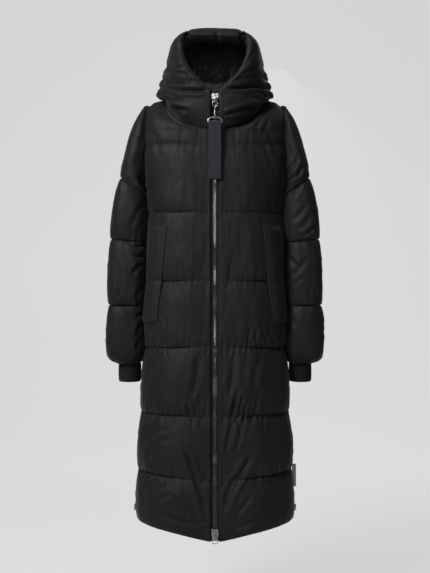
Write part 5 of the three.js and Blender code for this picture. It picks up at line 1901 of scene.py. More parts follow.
def hood_creases(sign: int) -> tuple[Crease, ...]:
    """The folds of one side of the hood and collar, drawn where they show.

    Args:
        sign: 1 on the wearer's left and -1 on the right.

    Returns:
        The creases.
    """
    if sign < 0:
        drawn = [
            ([(163, 82.5), (178, 88.5), (194, 91), (208, 91.5)], 6.5, 4.5),
            ([(165, 78), (176, 82), (186, 84.5)], 3.6, 3.4),
            ([(166, 105), (176, 107), (189, 111.5)], 5.5, 4.2),
            ([(160, 95), (172, 98), (184, 100)], 2.4, 4.0),
            ([(168, 70), (178, 72), (188, 76)], 2.6, 3.6),
            ([(170, 64), (176, 67), (184, 67)], 2.0, 3.4),
            ([(161, 88), (168, 91), (176, 95)], 2.8, 3.6),
            ([(172, 112), (178, 122), (190, 127)], 2.4, 4.5),
            ([(180, 40), (176, 50), (175, 60)], 1.6, 6.0),
            ([(187, 34), (188, 38), (190, 44)], 4.0, 3.4),
            ([(182, 36), (184, 42), (189, 48)], 3.0, 3.6),
            ([(191, 80), (199, 84), (205, 88)], 2.0, 3.6),
        ]
    else:
        drawn = [
            ([(226, 89), (240, 88), (254, 84.5), (270, 82)], 6.5, 4.5),
            ([(224, 94), (238, 93.5), (252, 97), (270, 98)], 2.6, 4.0),
            ([(224, 116), (236, 112), (250, 107), (272, 101)], 6.0, 4.5),
            ([(224, 121), (238, 117), (252, 112)], 2.6, 3.8),
            ([(232, 82), (244, 78), (256, 72)], 3.0, 3.8),
            ([(238, 78), (247, 72), (254, 66)], 2.4, 3.4),
            ([(236, 86), (248, 83), (262, 76)], 2.6, 3.6),
            ([(244, 66), (250, 58), (254, 50)], 2.0, 4.5),
            ([(250, 120), (257, 112), (264, 105)], 3.6, 4.0),
            ([(243, 36), (241, 41), (239, 47)], 4.5, 3.6),
            ([(247, 38), (246, 45), (244, 52)], 2.6, 3.8),
            ([(262, 62), (266, 72), (268, 82)], 2.0, 5.0),
        ]
    front = [
        Crease(tuple(seen(*spot, depth=125) for spot in path), depth, width) for path, depth, width in drawn
    ]
    hidden = [
        ([(-96, 22), (-40, 34), (10, 30), (60, 38)], 4.5, 5.0),
        ([(-88, 52), (-30, 58), (30, 52)], 3.5, 5.0),
        ([(-20, 70), (30, 74), (80, 66)], 3.0, 5.0),
        ([(-70, 92), (-20, 84), (24, 88)], 2.4, 6.0),
        ([(-60, -18), (-10, -2), (40, 8)], 3.5, 5.0),
        ([(-90, 4), (-50, 10), (-10, 6)], 3.0, 4.5),
        ([(10, 112), (50, 104), (90, 90)], 2.2, 6.0),
    ]
    side = Side.LEFT if sign > 0 else Side.RIGHT
    for path, depth, width in hidden:
        shift = 0 if sign > 0 else 6
        front.append(Crease(tuple((y, z + shift) for y, z in path), depth, width, side=side))
    behind = [
        ([(40, 40), (70, 46), (110, 40)], 3.0, 5.0),
        ([(30, 66), (76, 72), (112, 64)], 2.6, 5.5),
        ([(40, 100), (66, 96), (100, 104)], 2.0, 6.0),
    ]
    for path, depth, width in behind:
        path = tuple((x * sign, z + (5 if sign < 0 else 0)) for x, z in path)
        front.append(Crease(path, depth, width, side=Side.BACK))
    return tuple(front)


@dataclass
class HoodShells:
    """The hood's shell pieces with their folds, lining and sewing."""

    hood: Hood = field(default_factory=Hood)
    facing: float = 26.0
    round_off: float = 5.0
    deepen: float = 1.3
    seed: int = 70
    roll_rows: int = 36
    roll_reach: float = 33.0
    roll_middle: float = 154.5
    roll_half: float = 16.5
    rim_folds: tuple[tuple[float, float, float], ...] = (
        (4.0, 6.5, 0.1), (-68.8, 5.0, -0.3), (66.6, 6.0, 0.35)
    )
    rim_fold_half: float = 5.0

    def side(self, front: Panel, back: Panel, sign: int) -> tuple[Array, Array, Array, Array]:
        """One side's faces: outer, inner, before its folds, and its normals.

        Args:
            front: the front panel on this side.
            back: the back panel on this side.
            sign: 1 on the wearer's left and -1 on the right.

        Returns:
            The four grids.
        """
        hood = self.hood
        base, neck_inside, place = hood.face(front, back)
        column = np.linspace(0, 12, hood.columns + 1)
        normals = grid_normals(base)
        _, crown_normals = self.strip_base(base)
        last = hood.columns
        top = unit(normals[-1] + crown_normals[: last + 1, -1])
        normals[-1] = top
        normals[:, -1] = unit(normals[:, -1] + crown_normals[last:, -1][::-1])
        flip = np.array([sign, 1.0, 1.0])
        relief = self.relief(base * flip, normals * flip, hood_creases(sign), sign)
        arc = lengths(base, 1)
        free = smooth(place / 0.5)[:, None] * smooth((9 - place) / 0.35)[:, None] * smooth(
            (arc[:, -1:] - arc) / 12.0
        )
        edge = smooth(arc / 14.0)
        relief = np.maximum(relief, -8.0)
        relief *= free * np.where(place[:, None] < 4.2, mix(0.35, 1.0, edge), mix(0.6, 1.0, edge))
        row = place[:, None]
        sink = hood.edge_sink * (1 - smooth(arc / 13.0)) ** 1.5
        sink = sink * smooth((row - 4.0) / 0.6) * smooth((9 - row) / 0.4)
        to_top = lengths(base, 0)[-1:] - lengths(base, 0)
        to_back = arc[:, -1:] - arc
        seam_dip = 1.6 * (1 - smooth(to_back / 6.0)) + 1.6 * (1 - smooth(to_top / 6.0)) * smooth(arc / 20)
        near_top, near_back = 1 - np.clip(to_top / 26.0, 0, 1), 1 - np.clip(to_back / 24.0, 0, 1)
        seam_dip += self.round_off * (near_top**2 + 0.6 * near_back**2 * smooth((row - 1) / 2))
        seam_dip += 1.6 * (1 - smooth(place[:, None] / 0.25))
        outer = base + normals * (relief - sink - seam_dip)[..., None]
        outer[0] = base[0]
        thick = hood.thickness(place, column)
        uneven = Unevenness(self.seed + 5 + sign)
        folds = uneven.crumple(arc / 24.0 + 20 + base[..., 2] / 60.0, base[..., 2] / 62.0 + 20)
        small = uneven.rough(arc / 18.0, base[..., 2] / 22.0)
        calm = smooth(arc / 30.0) * smooth(place / 1.0)[:, None] * smooth((9 - place) / 0.7)[:, None]
        inner = base - normals * (thick + (12.0 * (folds - 0.4) + 1.6 * small) * calm)[..., None]
        inner[0] = neck_inside
        outer[-1, :, 0] += 0.35
        inner[-1, :, 0] += 0.35
        return outer, inner, base, normals

    def relief(self, points: Array, normals: Array, creases: tuple[Crease, ...], sign: int) -> Array:
        """Creases and unevenness of one side.

        Args:
            points: the surface's points.
            normals: its unit normals.
            creases: the creases drawn on this piece.
            sign: 1 on the wearer's left and -1 on the right.

        Returns:
            A distance for each point.
        """
        total = np.zeros(points.shape[:2])
        for crease in creases:
            total += self.deepen * crease.relief(points, normals)
        uneven = Unevenness(self.seed + sign)
        around = np.arctan2(points[..., 0] * sign, -points[..., 1]) * 120
        total += 1.1 * uneven.rough(around / 60.0 + 20, points[..., 2] / 40.0 + 20)
        total += 0.45 * uneven.rough(around / 30.0 + 20, points[..., 2] / 12.0 + 20)
        return total

    def strip_base(self, base: Array) -> tuple[Array, Array]:
        """The strip's outer face before its folds, from the rim over the crown to the neck.

        Args:
            base: the outer face before its folds.

        Returns:
            The face and its normals.
        """
        hood = self.hood
        last = hood.columns
        edge = np.concatenate([base[-1], base[-2::-1, -1]])
        count = len(edge)
        k = np.concatenate([np.linspace(0, 12, last + 1), 12 + np.linspace(0, 9, count - last)[1:]])
        top_share = 1 - np.clip((k - 12) / 3, 0, 1)
        lift = hood.crown * smooth(k / 8)
        w = np.linspace(-1, 1, 2 * hood.strip_half + 1)[None]
        crown = 1 - w * w
        x = edge[:, :1] * w
        y = edge[:, 1:2] + (lift * (1 - top_share))[:, None] * crown
        z = edge[:, 2:] + ((lift * top_share + 2) * top_share)[:, None] * crown
        grid = np.stack([x, y + 0 * x, z + 0 * x], -1)
        nape = hood.nape[0]
        near = smooth((k - 20) / 1.0)[:, None, None]
        y, z = (mix(nape[axis], edge[-1, axis], np.abs(w[0])) for axis in (1, 2))
        chord = np.stack([edge[-1, 0] * w[0], y, z], -1)
        shift = (chord - grid[-1])[None]
        grid = grid + shift * near
        return grid, grid_normals(grid)

    def strip(self, base: Array, side_normals: Array, edge_in: Array) -> tuple[Array, Array]:
        """The strip's outer and inner faces.

        Args:
            base: a side's outer face before its folds.
            side_normals: its normals.
            edge_in: the inner point where the side meets the strip at the neck.

        Returns:
            Two grids of points.
        """
        hood = self.hood
        last = hood.columns
        grid, normals = self.strip_base(base)
        shared = np.concatenate([side_normals[-1], side_normals[-2::-1, -1]])
        normals[:, -1] = shared
        normals[:, 0] = shared * [-1, 1, 1]
        count = len(grid)
        k = np.concatenate([np.linspace(0, 12, last + 1), 12 + np.linspace(0, 9, count - last)[1:]])
        w = np.abs(np.linspace(-1, 1, grid.shape[1]))[None]
        arc = lengths(grid, 0)
        uneven = Unevenness(self.seed + 21)
        x = grid[..., 0]
        free = smooth((1 - w) / 0.35) * smooth(k / 0.8)[:, None] * smooth((21 - k) / 1.2)[:, None]
        relief = 1.8 * uneven.rough(x / 50 + 20, arc / 55.0) + 0.8 * uneven.rough(x / 20 + 20, arc / 16.0)
        relief *= free
        for place, depth, slope in self.rim_folds:
            fold = np.exp(-(((x - place - slope * arc) / self.rim_fold_half) ** 2) - (arc / 34.0) ** 2)
            relief -= depth * fold * smooth((1 - w) / 0.08)
        sink = np.interp(k, np.arange(6), hood.rim_sinks)[:, None] * smooth((1 - w) / 0.2)
        from_seam = (1 - w) * np.abs(x[:, -1:])
        dip = 1.6 * (1 - smooth(from_seam / 6.0)) * smooth(k / 1.5)[:, None]
        top = 1 - smooth((k - 11) / 4)[:, None] * 0.4 * smooth((k - 20) / 1)[:, None]
        near_seam = 1 - np.clip(from_seam / 26.0, 0, 1)
        dip = dip + self.round_off * near_seam**2 * top * smooth((21 - k) / 1.5)[:, None]
        outer = grid + normals * (relief - sink - dip)[..., None]
        wall_at = np.interp(k, np.arange(6), hood.rim_walls)
        wall_at = np.where(k > 5, np.interp(k, [5, 7], [20, hood.crown_wall]), wall_at)[:, None]
        at_rim = np.where(k <= 5.5, 0.8 * np.interp(k, np.arange(6), hood.rim_walls), 0)
        seam = np.maximum(hood.panel_wall, at_rim)[:, None]
        thick = mix(wall_at, seam, smooth((w - 0.66) / 0.34))
        folds = uneven.crumple(x / 26.0 + 20 + arc / 70.0, arc / 66.0 + 20)
        thick = thick + 11.0 * (folds - 0.4) * free * smooth((k - 3) / 3)[:, None]
        inner = grid - normals * thick[..., None]
        nape_in = hood.nape[1]
        across = edge_in[0] * np.linspace(-1, 1, grid.shape[1])
        inner[-1] = np.stack([across, *(mix(nape_in[k], edge_in[k], w[0]) for k in (1, 2))], -1)
        outer[-1] = grid[-1]
        self.roll_rim(outer, inner, w)
        for surface in (outer, inner):
            surface[:, 0, 0] += 0.35
            surface[:, -1, 0] -= 0.35
        return outer, inner

    def roll_rim(self, outer: Array, inner: Array, from_middle: Array) -> None:
        """Rounds the strip's front into a thick soft roll, squeezed at its middle and its ends.

        Args:
            outer: the strip's outer face, changed in place.
            inner: the strip's inner face, changed in place.
            from_middle: each column's place, 0 at the middle and 1 at the seams.
        """
        rows, x = self.roll_rows, outer[0, :, 0]
        share = 1 - np.arange(rows + 1)[:, None] / rows
        squeeze = 1 - 0.42 * np.exp(-(((x - 4.0) / 4.5) ** 2))
        squeeze = squeeze - 0.3 * np.exp(-(((np.abs(x) - 66.0) / 4.0) ** 2))
        soft = 1 + 0.05 * Unevenness(self.seed + 31).rough(x / 17.0 + 20, 0 * x)
        top, low = outer[rows, :, 2], inner[rows, :, 2]
        drop = self.roll_middle - 1.5 * smooth((x - 4.0) / 12.0) + 3.0 * (1 - squeeze)
        middle = mix((top + low) / 2, drop, smooth(share * 1.5))
        half = mix((top - low) / 2, self.roll_half * soft * squeeze, smooth(share * 1.4))
        half = half * np.cos(share * QUARTER * 0.96) ** 0.75
        y = outer[rows, :, 1] - self.roll_reach * (0.4 + 0.6 * squeeze) * np.sin(share * QUARTER)
        weight = smooth((1 - from_middle) / 0.2)
        y_inner = mix(y, inner[rows, :, 1], 1 - share)
        for surface, forward, height in ((outer, y, middle + half), (inner, y_inner, middle - half)):
            roll = surface[: rows + 1]
            roll[..., 1] = mix(roll[..., 1], forward, weight)
            roll[..., 2] = mix(roll[..., 2], height, weight)

    def build(self, body: BodyShells, finishes: Wardrobe) -> None:
        """Makes the hood's sides, its strip and their sewing.

        Args:
            body: the body.
            finishes: the coat's finishes.
        """
        shell = [finishes.shell, finishes.lining]
        left = ("left", 1, body.front_left, body.back_left)
        right = ("right", -1, body.front_right, body.back_right)
        for name, sign, front, back in (left, right):
            outer, inner, base, normals = self.side(front, back, sign)
            edge_in = inner[0, -1]
            if sign > 0:
                kept = (base, normals)
            arc = lengths(base, 1)
            rows = base.shape[0] - 1
            near_edge = (arc[:-1, :-1] < self.facing) & (np.arange(rows)[:, None] > 2 * self.hood.row_steps)
            lined = np.where(near_edge, 0, 1)
            place = np.arange(rows + 1) / self.hood.row_steps
            edge = mix(1.2, 7.0, smooth((place - 4.0) / 0.8) * (1 - smooth((place - 8.1) / 0.7)))
            skin = wall(
                outer, inner, roll=Roll(start=edge, bottom=0.3, top=0.3, end=0.3), lining=lined, steps=8
            )
            piece = put(f"hood_side_{name}", skin.on_side(sign), shell, COAT, (f"hood_{name}",))
            rows_up = slice(4, None)
            sewing = stitches(outer[rows_up, -2], normals[rows_up, -2])
            sewing = sewing.joined(stitches(outer[-2, 6:], normals[-2, 6:])).on_side(sign)
            put(f"hood_sewing_{name}", sewing, [finishes.thread], COAT)
        outer, inner = self.strip(*kept, edge_in)
        lined = np.where(lengths(inner, 0)[:-1, :-1] < self.facing, 0, 1)
        skin = wall(outer, inner, roll=Roll(bottom=1.5, top=0.3, start=0.3, end=0.3), lining=lined, steps=4)
        piece = put("hood_strip", skin, shell, COAT, ("hood_centre",))


# Zip


@dataclass
class Zip:
    """The two-way zip: tapes, teeth, the flap behind them, and both sliders."""

    tape_in: float = 4.8
    tape_out: float = 15.5
    clear: float = 0.5
    slope: float = 0.24
    zip_half: float = 12.5
    thick: float = 1.0
    pitch: float = 3.5
    low_slider: float = -1100.0
    top_slider: float = -18.0
    slider_height: float = 24.0
    slider_thick: float = 8.6
    flap_half: float = 28.0
    flap_top_half: float = 33.0
    flap_wall: float = 3.0
    flap_top: float = 27.0
    flap_top_sides: float = 34.0
    flap_below: float = 12.0
    waves: tuple[tuple[float, float, float], ...] = (
        (-228.0, 26.0, 0.16),
        (-400.0, 30.0, 0.21),
        (-512.0, 38.0, 0.23),
        (-636.0, 12.0, 0.2),
        (-722.0, 34.0, 0.24),
        (-905.0, 16.0, 0.12),
    )
    z: Array = field(init=False)
    y: Array = field(init=False)

    def set_line(self, front: Panel, hood: Hood, base: Array, normals: Array) -> None:
        """Takes the line that the zip follows: the fronts' inner edges, then the collar's.

        Args:
            front: the front panel on this side.
            hood: the hood that the zip runs up.
            base: the side's outer face before its folds.
            normals: its unit normals.
        """
        stop = front.body.first_turn + int(front.body.front_neck * front.body.armhole_steps)
        low = front.inner[: stop + 1, 0]
        rows = [k * hood.row_steps for k in range(1, 5)]
        fills = np.array(hood.fills[:4])[:, None]
        high = base[rows, 0] - normals[rows, 0] * fills
        line = np.concatenate([low, high])
        self.z, self.y = line[:, 2], line[:, 1]

    def depth(self, z: Array | float) -> Array:
        """How far forward the zip lies at a height."""
        return np.interp(z, self.z, self.y)

    def behind(self, x: Array) -> Array:
        """How far the tape lies behind the zip's line."""
        return self.clear + self.slope * np.maximum(0, np.abs(x) - self.zip_half)

    def tapes(self, finishes: Wardrobe) -> None:
        """Makes the two woven tapes.

        Args:
            finishes: the coat's finishes.
        """
        z = np.linspace(self.z[0], self.z[-1], 180)
        x = np.array([self.tape_in, self.tape_in + 0.8, 7.5, 10.0, self.zip_half, self.tape_out])
        cord = np.array([0.35, 0.35, 0.0, 0.0, 0.0, 0.0])
        face = self.depth(z)[:, None] + self.behind(x)[None]
        across, up = x[None] + 0 * face, z[:, None] + 0 * face
        grids = [np.stack([across, at, up], -1) for at in (face - cord[None], face + self.thick)]
        skin = wall(*grids, roll=Roll(0.2, 0.2, 0.3, 0.1), lining=0)
        for name, made in (("left", skin), ("right", skin.mirrored())):
            tape = put(f"woven_tape_{name}", made, [finishes.tape], COAT, (f"zip_tape_{name}",))

    def tooth(self) -> Skin:
        """One metal tooth, pointing towards -X from the left tape."""
        low = [(5.6, -0.95), (3.0, -1.1), (1.2, -0.8), (-0.5, -1.05), (-1.25, -0.45)]
        outline = np.array(low + [(x, -z) for x, z in reversed(low)])
        return block(outline[::-1], np.array([0.9, 0.2, -1.1, -1.75]), np.array([0.2, 0.0, 0.0, 0.26]))

    def tilt(self, z: Array) -> Array:
        """How far the zip's soft waves tip each tooth back, in radians.

        Args:
            z: heights.

        Returns:
            An angle for each height.
        """
        total = np.full(z.shape, -0.09)
        for place, reach, lean in self.waves:
            total += lean * np.exp(-(((z - place) / reach) ** 2))
        return total

    def teeth(self, finishes: Wardrobe) -> None:
        """Makes the two rows of teeth between the sliders.

        Args:
            finishes: the coat's finishes.
        """
        low, high = self.low_slider + self.slider_height - 3.0, self.top_slider + 3.0
        tooth = self.tooth()
        places = np.arange(low, high, self.pitch)
        skins = []
        for sign, shift in ((1, 0.0), (-1, self.pitch / 2)):
            at = places + shift
            y = self.depth(at) + self.clear
            move = np.stack([0 * at, y, at], -1)
            tilt = self.tilt(at)[:, None]
            shape = np.broadcast_to(tooth.points * [sign, 1, 1], (len(at), *tooth.points.shape))
            x, y, z = np.moveaxis(shape, -1, 0)
            turned = np.stack(
                [x, y * np.cos(tilt) - z * np.sin(tilt), y * np.sin(tilt) + z * np.cos(tilt)], -1
            )
            points = (turned + move[:, None]).reshape(-1, 3)
            faces = tooth.faces[None] + (np.arange(len(at)) * len(tooth.points))[:, None, None]
            faces = faces.reshape(-1, 4)[:, ::sign]
            skins.append(Skin(points, faces, np.zeros((len(faces), 4, 2)), np.zeros(len(faces), int)))
        put(
            "zip_teeth",
            skins[0].joined(skins[1]),
            [finishes.gunmetal],
            COAT,
            ("zip_chain",),
            sharp=35,
        )

    def flap(self, finishes: Wardrobe) -> None:
        """Makes the flap behind the zip, its top a shallow hollow curve.

        Args:
            finishes: the coat's finishes.
        """
        bottom, top = self.z[0] + self.flap_below, self.z[-1]
        z = np.linspace(bottom, top, 220)
        w = np.linspace(-1, 1, 25)
        x = w * self.flap_half
        back = self.behind(x) + self.thick + 0.4
        y = self.depth(z)[:, None] + back[None]
        grid = np.stack([x[None] + 0 * y, y, z[:, None] + 0 * y], -1)
        rise = np.linspace(0, 1, 12)[1:, None]
        goal = mix(self.flap_top, self.flap_top_sides, np.abs(w))[None]
        wide = mix(1.0, self.flap_top_half / self.flap_half, rise * smooth((np.abs(w) - 0.4) / 0.3)[None])
        upper = np.stack(
            [x[None] * wide, self.depth(top) + back[None] + 1.5 * rise, mix(top, goal, rise)], -1
        )
        outer = np.concatenate([grid, upper])
        uneven = Unevenness(8)
        ripple = 0.7 * uneven.rough(outer[..., 0] / 16 + 9, outer[..., 2] / 30 + 60) * (1 - np.abs(w))[None]
        inner = outer + [0, self.flap_wall, 0]
        inner[..., 1] += ripple
        skin = wall(outer, inner, roll=Roll(1.0, 1.4, 1.2, 1.2), lining=0)
        flap = put("flap_behind_zip", skin, [finishes.shell], COAT, ("storm_flap",))
        seam = outer[-1, 1:-1] - [0, 0, 5.0]
        front = np.tile([0.0, -1.0, 0.0], (len(seam), 1))
        put("flap_sewing", stitches(seam, front), [finishes.thread], COAT)

    def slider_face(self, z: float) -> float:
        """The y of a slider's front plate."""
        back = min(self.depth(z), self.depth(z + self.slider_height)) + self.clear - 0.3
        return float(back - self.slider_thick)

    def slider(self, name: str, z: float, finish: Material, node: str) -> None:
        """Makes one slider: two shaped plates, side lips, a neck between them and a bridge.

        Args:
            name: the piece's name.
            z: its foot's height.
            finish: its metal.
            node: the solid that it is shown in place of.
        """
        half, waist, height = 9.0, 6.2, self.slider_height
        curve = [(-waist, 0), (waist, 0), (waist + 0.5, 1.2), (half, height * 0.45), (half, height * 0.84)]
        curve += [(half * x, height * y) for x, y in ((0.82, 0.96), (0.5, 0.985), (0.2, 0.92), (0, 0.9))]
        curve += [(-x, y) for x, y in curve[:1:-1][1:]]
        outline = np.array(curve) * [1, 1] + [0, z]
        y = self.slider_face(z)
        front = block(outline, np.array([y + 3.2, y + 2.9, y + 0.8, y]), np.array([0.05, 0.0, 0.0, 0.1]))
        back = block(
            outline, np.array([y + 8.6, y + 8.3, y + 6.3, y + 6.0]), np.array([0.06, 0.0, 0.0, 0.05])
        )
        parts = [front, back]
        neck = np.array([(-2.2, 0.62), (2.2, 0.62), (2.8, 0.8), (0, 0.9), (-2.8, 0.8)]) * [1, height] + [0, z]
        parts.append(block(neck, np.array([y + 6.2, y + 3.0]), np.array([0.0, 0.0])))
        for sign in (-1, 1):
            lip = [
                (waist - 1.4, 0.02),
                (waist, 0.02),
                (half, 0.46),
                (half, 0.8),
                (half - 1.5, 0.8),
                (half - 1.5, 0.48),
            ]
            lip = (np.array(lip) * [sign, height] + [0, z])[::sign]
            parts.append(block(lip, np.array([y + 4.2, y + 3.0, y + 2.6]), np.array([0.08, 0.0, 0.0])))
            parts.append(block(lip, np.array([y + 6.6, y + 6.2, y + 5.0]), np.array([0.0, 0.0, 0.08])))
        arch = [(1.0, 1.2), (-3.6, 1.0), (-5.2, 3.4), (-5.4, 8.6), (-5.0, 13.0), (-3.2, 16.0), (1.0, 16.2)]
        path = catmull(np.array([(0.0, y + a, z + b) for a, b in arch]), np.linspace(0, len(arch) - 1, 40))
        parts += [tube(path + [x, 0, 0], 1.05, 12) for x in (-1.0, -0.35, 0.35, 1.0)]
        put(name, together(parts), [finish], COAT, (node,), sharp=35)

    def box_end(self, finishes: Wardrobe) -> None:
        """Makes the box at the foot of the zip.

        Args:
            finishes: the coat's finishes.
        """
        z = self.z[0] + 3.5
        y = float(self.depth(z)) + self.clear
        box = np.array([(-5.4, -3.2), (5.4, -3.2), (5.8, 0), (5.4, 3.0), (-5.4, 3.0), (-5.8, 0)]) + [0, z]
        skin = block(box, np.array([y + 0.9, y + 0.5, y - 1.6, y - 2.1]), np.array([0.08, 0.0, 0.0, 0.1]))
        put("zip_box", skin, [finishes.gunmetal], COAT, sharp=35)


@dataclass
class Pulls:
    """The pull on the upper slider and the ring on the lower one."""

    ring_radius: float = 6.8
    ring_wire: float = 1.3
    ring_z: float = -21.0
    pull_y: float = -130.79
    strap_y: float = -142.5
    hook_wire: float = 1.35
    ball: float = 3.0
    ball_z: float = -49.6
    eye_z: float = -56.6
    eye_radius: float = 3.4
    half_ring: tuple[float, float, float, float] = (17.9, -56.4, -68.5, 1.75)
    strap_half: float = 15.0
    strap_low: float = -209.0
    strap_thick: float = 4.2
    low_ring: tuple[float, float, float, float] = (7.6, 0.95, -1104.2, -160.62)

    def ring(self, radius: float, wire: float, y: float, z: float) -> Skin:
        """A round wire ring in an upright plane.

        Args:
            radius: the ring's radius.
            wire: half the wire's thickness.
            y: the ring's depth.
            z: the ring's height.

        Returns:
            The ring as a skin.
        """
        angle = np.linspace(0, 2 * math.pi, 48, endpoint=False)
        path = np.stack([radius * np.cos(angle), np.full(48, y), z + radius * np.sin(angle)], -1)
        return tube(path, wire, 14, closed=True)

    def hook(self) -> Skin:
        """The swivel hook: its bent arm, ball, stem and eye."""
        low = self.ring_z - self.ring_radius
        y, s = self.pull_y, self.strap_y
        spots = [
            (-1.4, y + 3, low - 2.4),
            (-1.2, y + 3.1, low + 1.5),
            (0, y - 0.1, low + 4.4),
            (1.6, y - 3.3, low + 1.4),
            (2, y - 3.9, low - 3),
            (-0.6, mix(y - 3.5, s, 0.4), low - 8),
            (-1.4, mix(y - 3, s, 0.8), low - 12.5),
            (0, s, self.ball_z + self.ball * 0.6),
        ]
        path = catmull(np.array(spots), np.linspace(0, 7, 70))
        share = np.linspace(0, 1, 70)
        radius = self.hook_wire * (0.9 + 0.35 * np.exp(-(((share - 0.66) / 0.14) ** 2)))
        whole = tube(path, radius, 16)
        angle = np.linspace(-QUARTER * 0.97, QUARTER * 0.97, 22)
        centre = np.array([0, s, self.ball_z])
        ball = tube(
            np.stack([0 * angle, 0 * angle, self.ball * np.sin(angle)], -1) + centre,
            self.ball * np.cos(angle),
            20,
        )
        stem = np.array(
            [[0, s, self.ball_z - 2.4], [0, s, self.ball_z - 3.2], [0, s, self.eye_z + self.eye_radius - 0.3]]
        )
        whole = together([whole, ball, tube(stem, 1.45, 18), tube(stem[:2], 1.9, 18)])
        around = np.linspace(0, 2 * math.pi, 40, endpoint=False)
        eye = np.stack(
            [0 * around, s + self.eye_radius * np.cos(around), self.eye_z + self.eye_radius * np.sin(around)],
            -1,
        )
        return whole.joined(tube(eye, self.hook_wire, 14, closed=True))

    def bow(self) -> Skin:
        """The half ring that carries the strap."""
        half, top, bar, wire = self.half_ring
        angle = np.linspace(0, math.pi, 44)
        arc = np.stack([half * np.cos(angle), bar + (top - bar) * np.sin(angle) ** 0.8], -1)
        flat = np.stack([np.linspace(-half, half, 18)[1:-1], np.full(16, bar)], -1)
        both = np.concatenate([arc, flat])
        path = np.stack([both[:, 0], np.full(len(both), self.strap_y), both[:, 1]], -1)
        return tube(path, wire, 14, closed=True)

    def strap(self) -> Skin:
        """Webbing folded round the bar of the half ring and sewn to itself."""
        bar, wire = self.half_ring[2], self.half_ring[3]
        outer, half, rows = wire + 0.25 + 1.5, self.strap_thick / 2, 118
        turn = np.linspace(0, math.pi, 16)
        over = np.stack([-outer * np.cos(turn), bar + outer * np.sin(turn)], -1)
        front = np.stack([np.full(rows, -half), np.linspace(bar - outer * 2.2, self.strap_low, rows)], -1)
        outside = np.concatenate([front[::-1], over, front * [-1, 1]])
        bend = np.stack([np.cos(turn), -np.sin(turn)], -1)
        normal = np.concatenate([np.tile([1.0, 0], (rows, 1)), bend, np.tile([-1.0, 0], (rows, 1))])
        depth = np.full(len(outside), 1.7)
        depth[rows : rows + len(turn)] = 1.5
        inside = outside + normal * depth[:, None]
        x = np.linspace(-self.strap_half, self.strap_half, 29)
        rib = 0.12 * np.cos(x / 1.5 * 2 * math.pi)[None] * np.ones((len(outside), 1))
        step = 0.1 * np.cos(np.arange(len(outside)) * math.pi)[:, None]
        lift = rib + step * np.sign(rib + 1e-6)
        edge = smooth((self.strap_half - np.abs(x)) / 1.4)[None]
        out = lift * edge - (1 - edge) * 0.45
        face = self.strap_face(x, outside, normal, out)
        return wall(
            face, self.strap_face(x, inside, normal, 0 * out), roll=Roll(0.5, 0.5, 0.5, 0.5), lining=0
        )

    def strap_face(self, x: Array, line: Array, normal: Array, out: Array) -> Array:
        """A face of the webbing from its side view, moved out by each point's own amount."""
        y, z = line[:, :1] - normal[:, :1] * out, line[:, 1:] - normal[:, 1:] * out
        return np.stack([x[None] + 0 * out, self.strap_y + y, z], -1)

    def strap_sewing(self) -> Skin:
        """A sewn box with a cross at the head of the strap, on both faces."""
        top, low, half = self.half_ring[2] - 12.0, self.half_ring[2] - 34.0, self.strap_half - 2.6
        base = self.strap_low + 3.0
        paths = [
            [(-half, top), (half, top), (half, low), (-half, low), (-half, top)],
            [(-half, top), (half, low)],
            [(half, top), (-half, low)],
            [(-half, base), (half, base)],
        ]
        rows = []
        for side in (-1, 1):
            for path in paths:
                y = self.strap_y + side * (self.strap_thick / 2 + 0.2)
                line = np.array([(x, y, z) for x, z in path], float)
                rows.append(stitches(line, np.tile([0.0, side, 0.0], (len(line), 1)), 2.6, 1.9, 0.3))
        return together(rows)

    def build(self, finishes: Wardrobe) -> None:
        """Makes the pulls.

        Args:
            finishes: the coat's finishes.
        """
        silver, slot = [finishes.silver], "polished_metal"
        ring = self.ring(self.ring_radius, self.ring_wire, self.pull_y, self.ring_z)
        put("slider_ring", ring, silver, "top_pull", ("pull_ring",))
        put("swivel_hook", self.hook(), silver, "top_pull", ("pull_hook",))
        put("strap_bow", self.bow(), silver, "strap_pull", ("half_ring",))
        strap = put(
            "webbing_strap", self.strap(), [finishes.webbing], "strap_pull", ("strap",), sharp=50
        )
        put("strap_sewing", self.strap_sewing(), [finishes.thread], "strap_pull")
        radius, wire, z, y = self.low_ring
        put(
            "low_wire_ring",
            self.ring(radius, wire, y, z),
            silver,
            "bottom_ring",
            ("bottom_pull",),
        )


# Trims


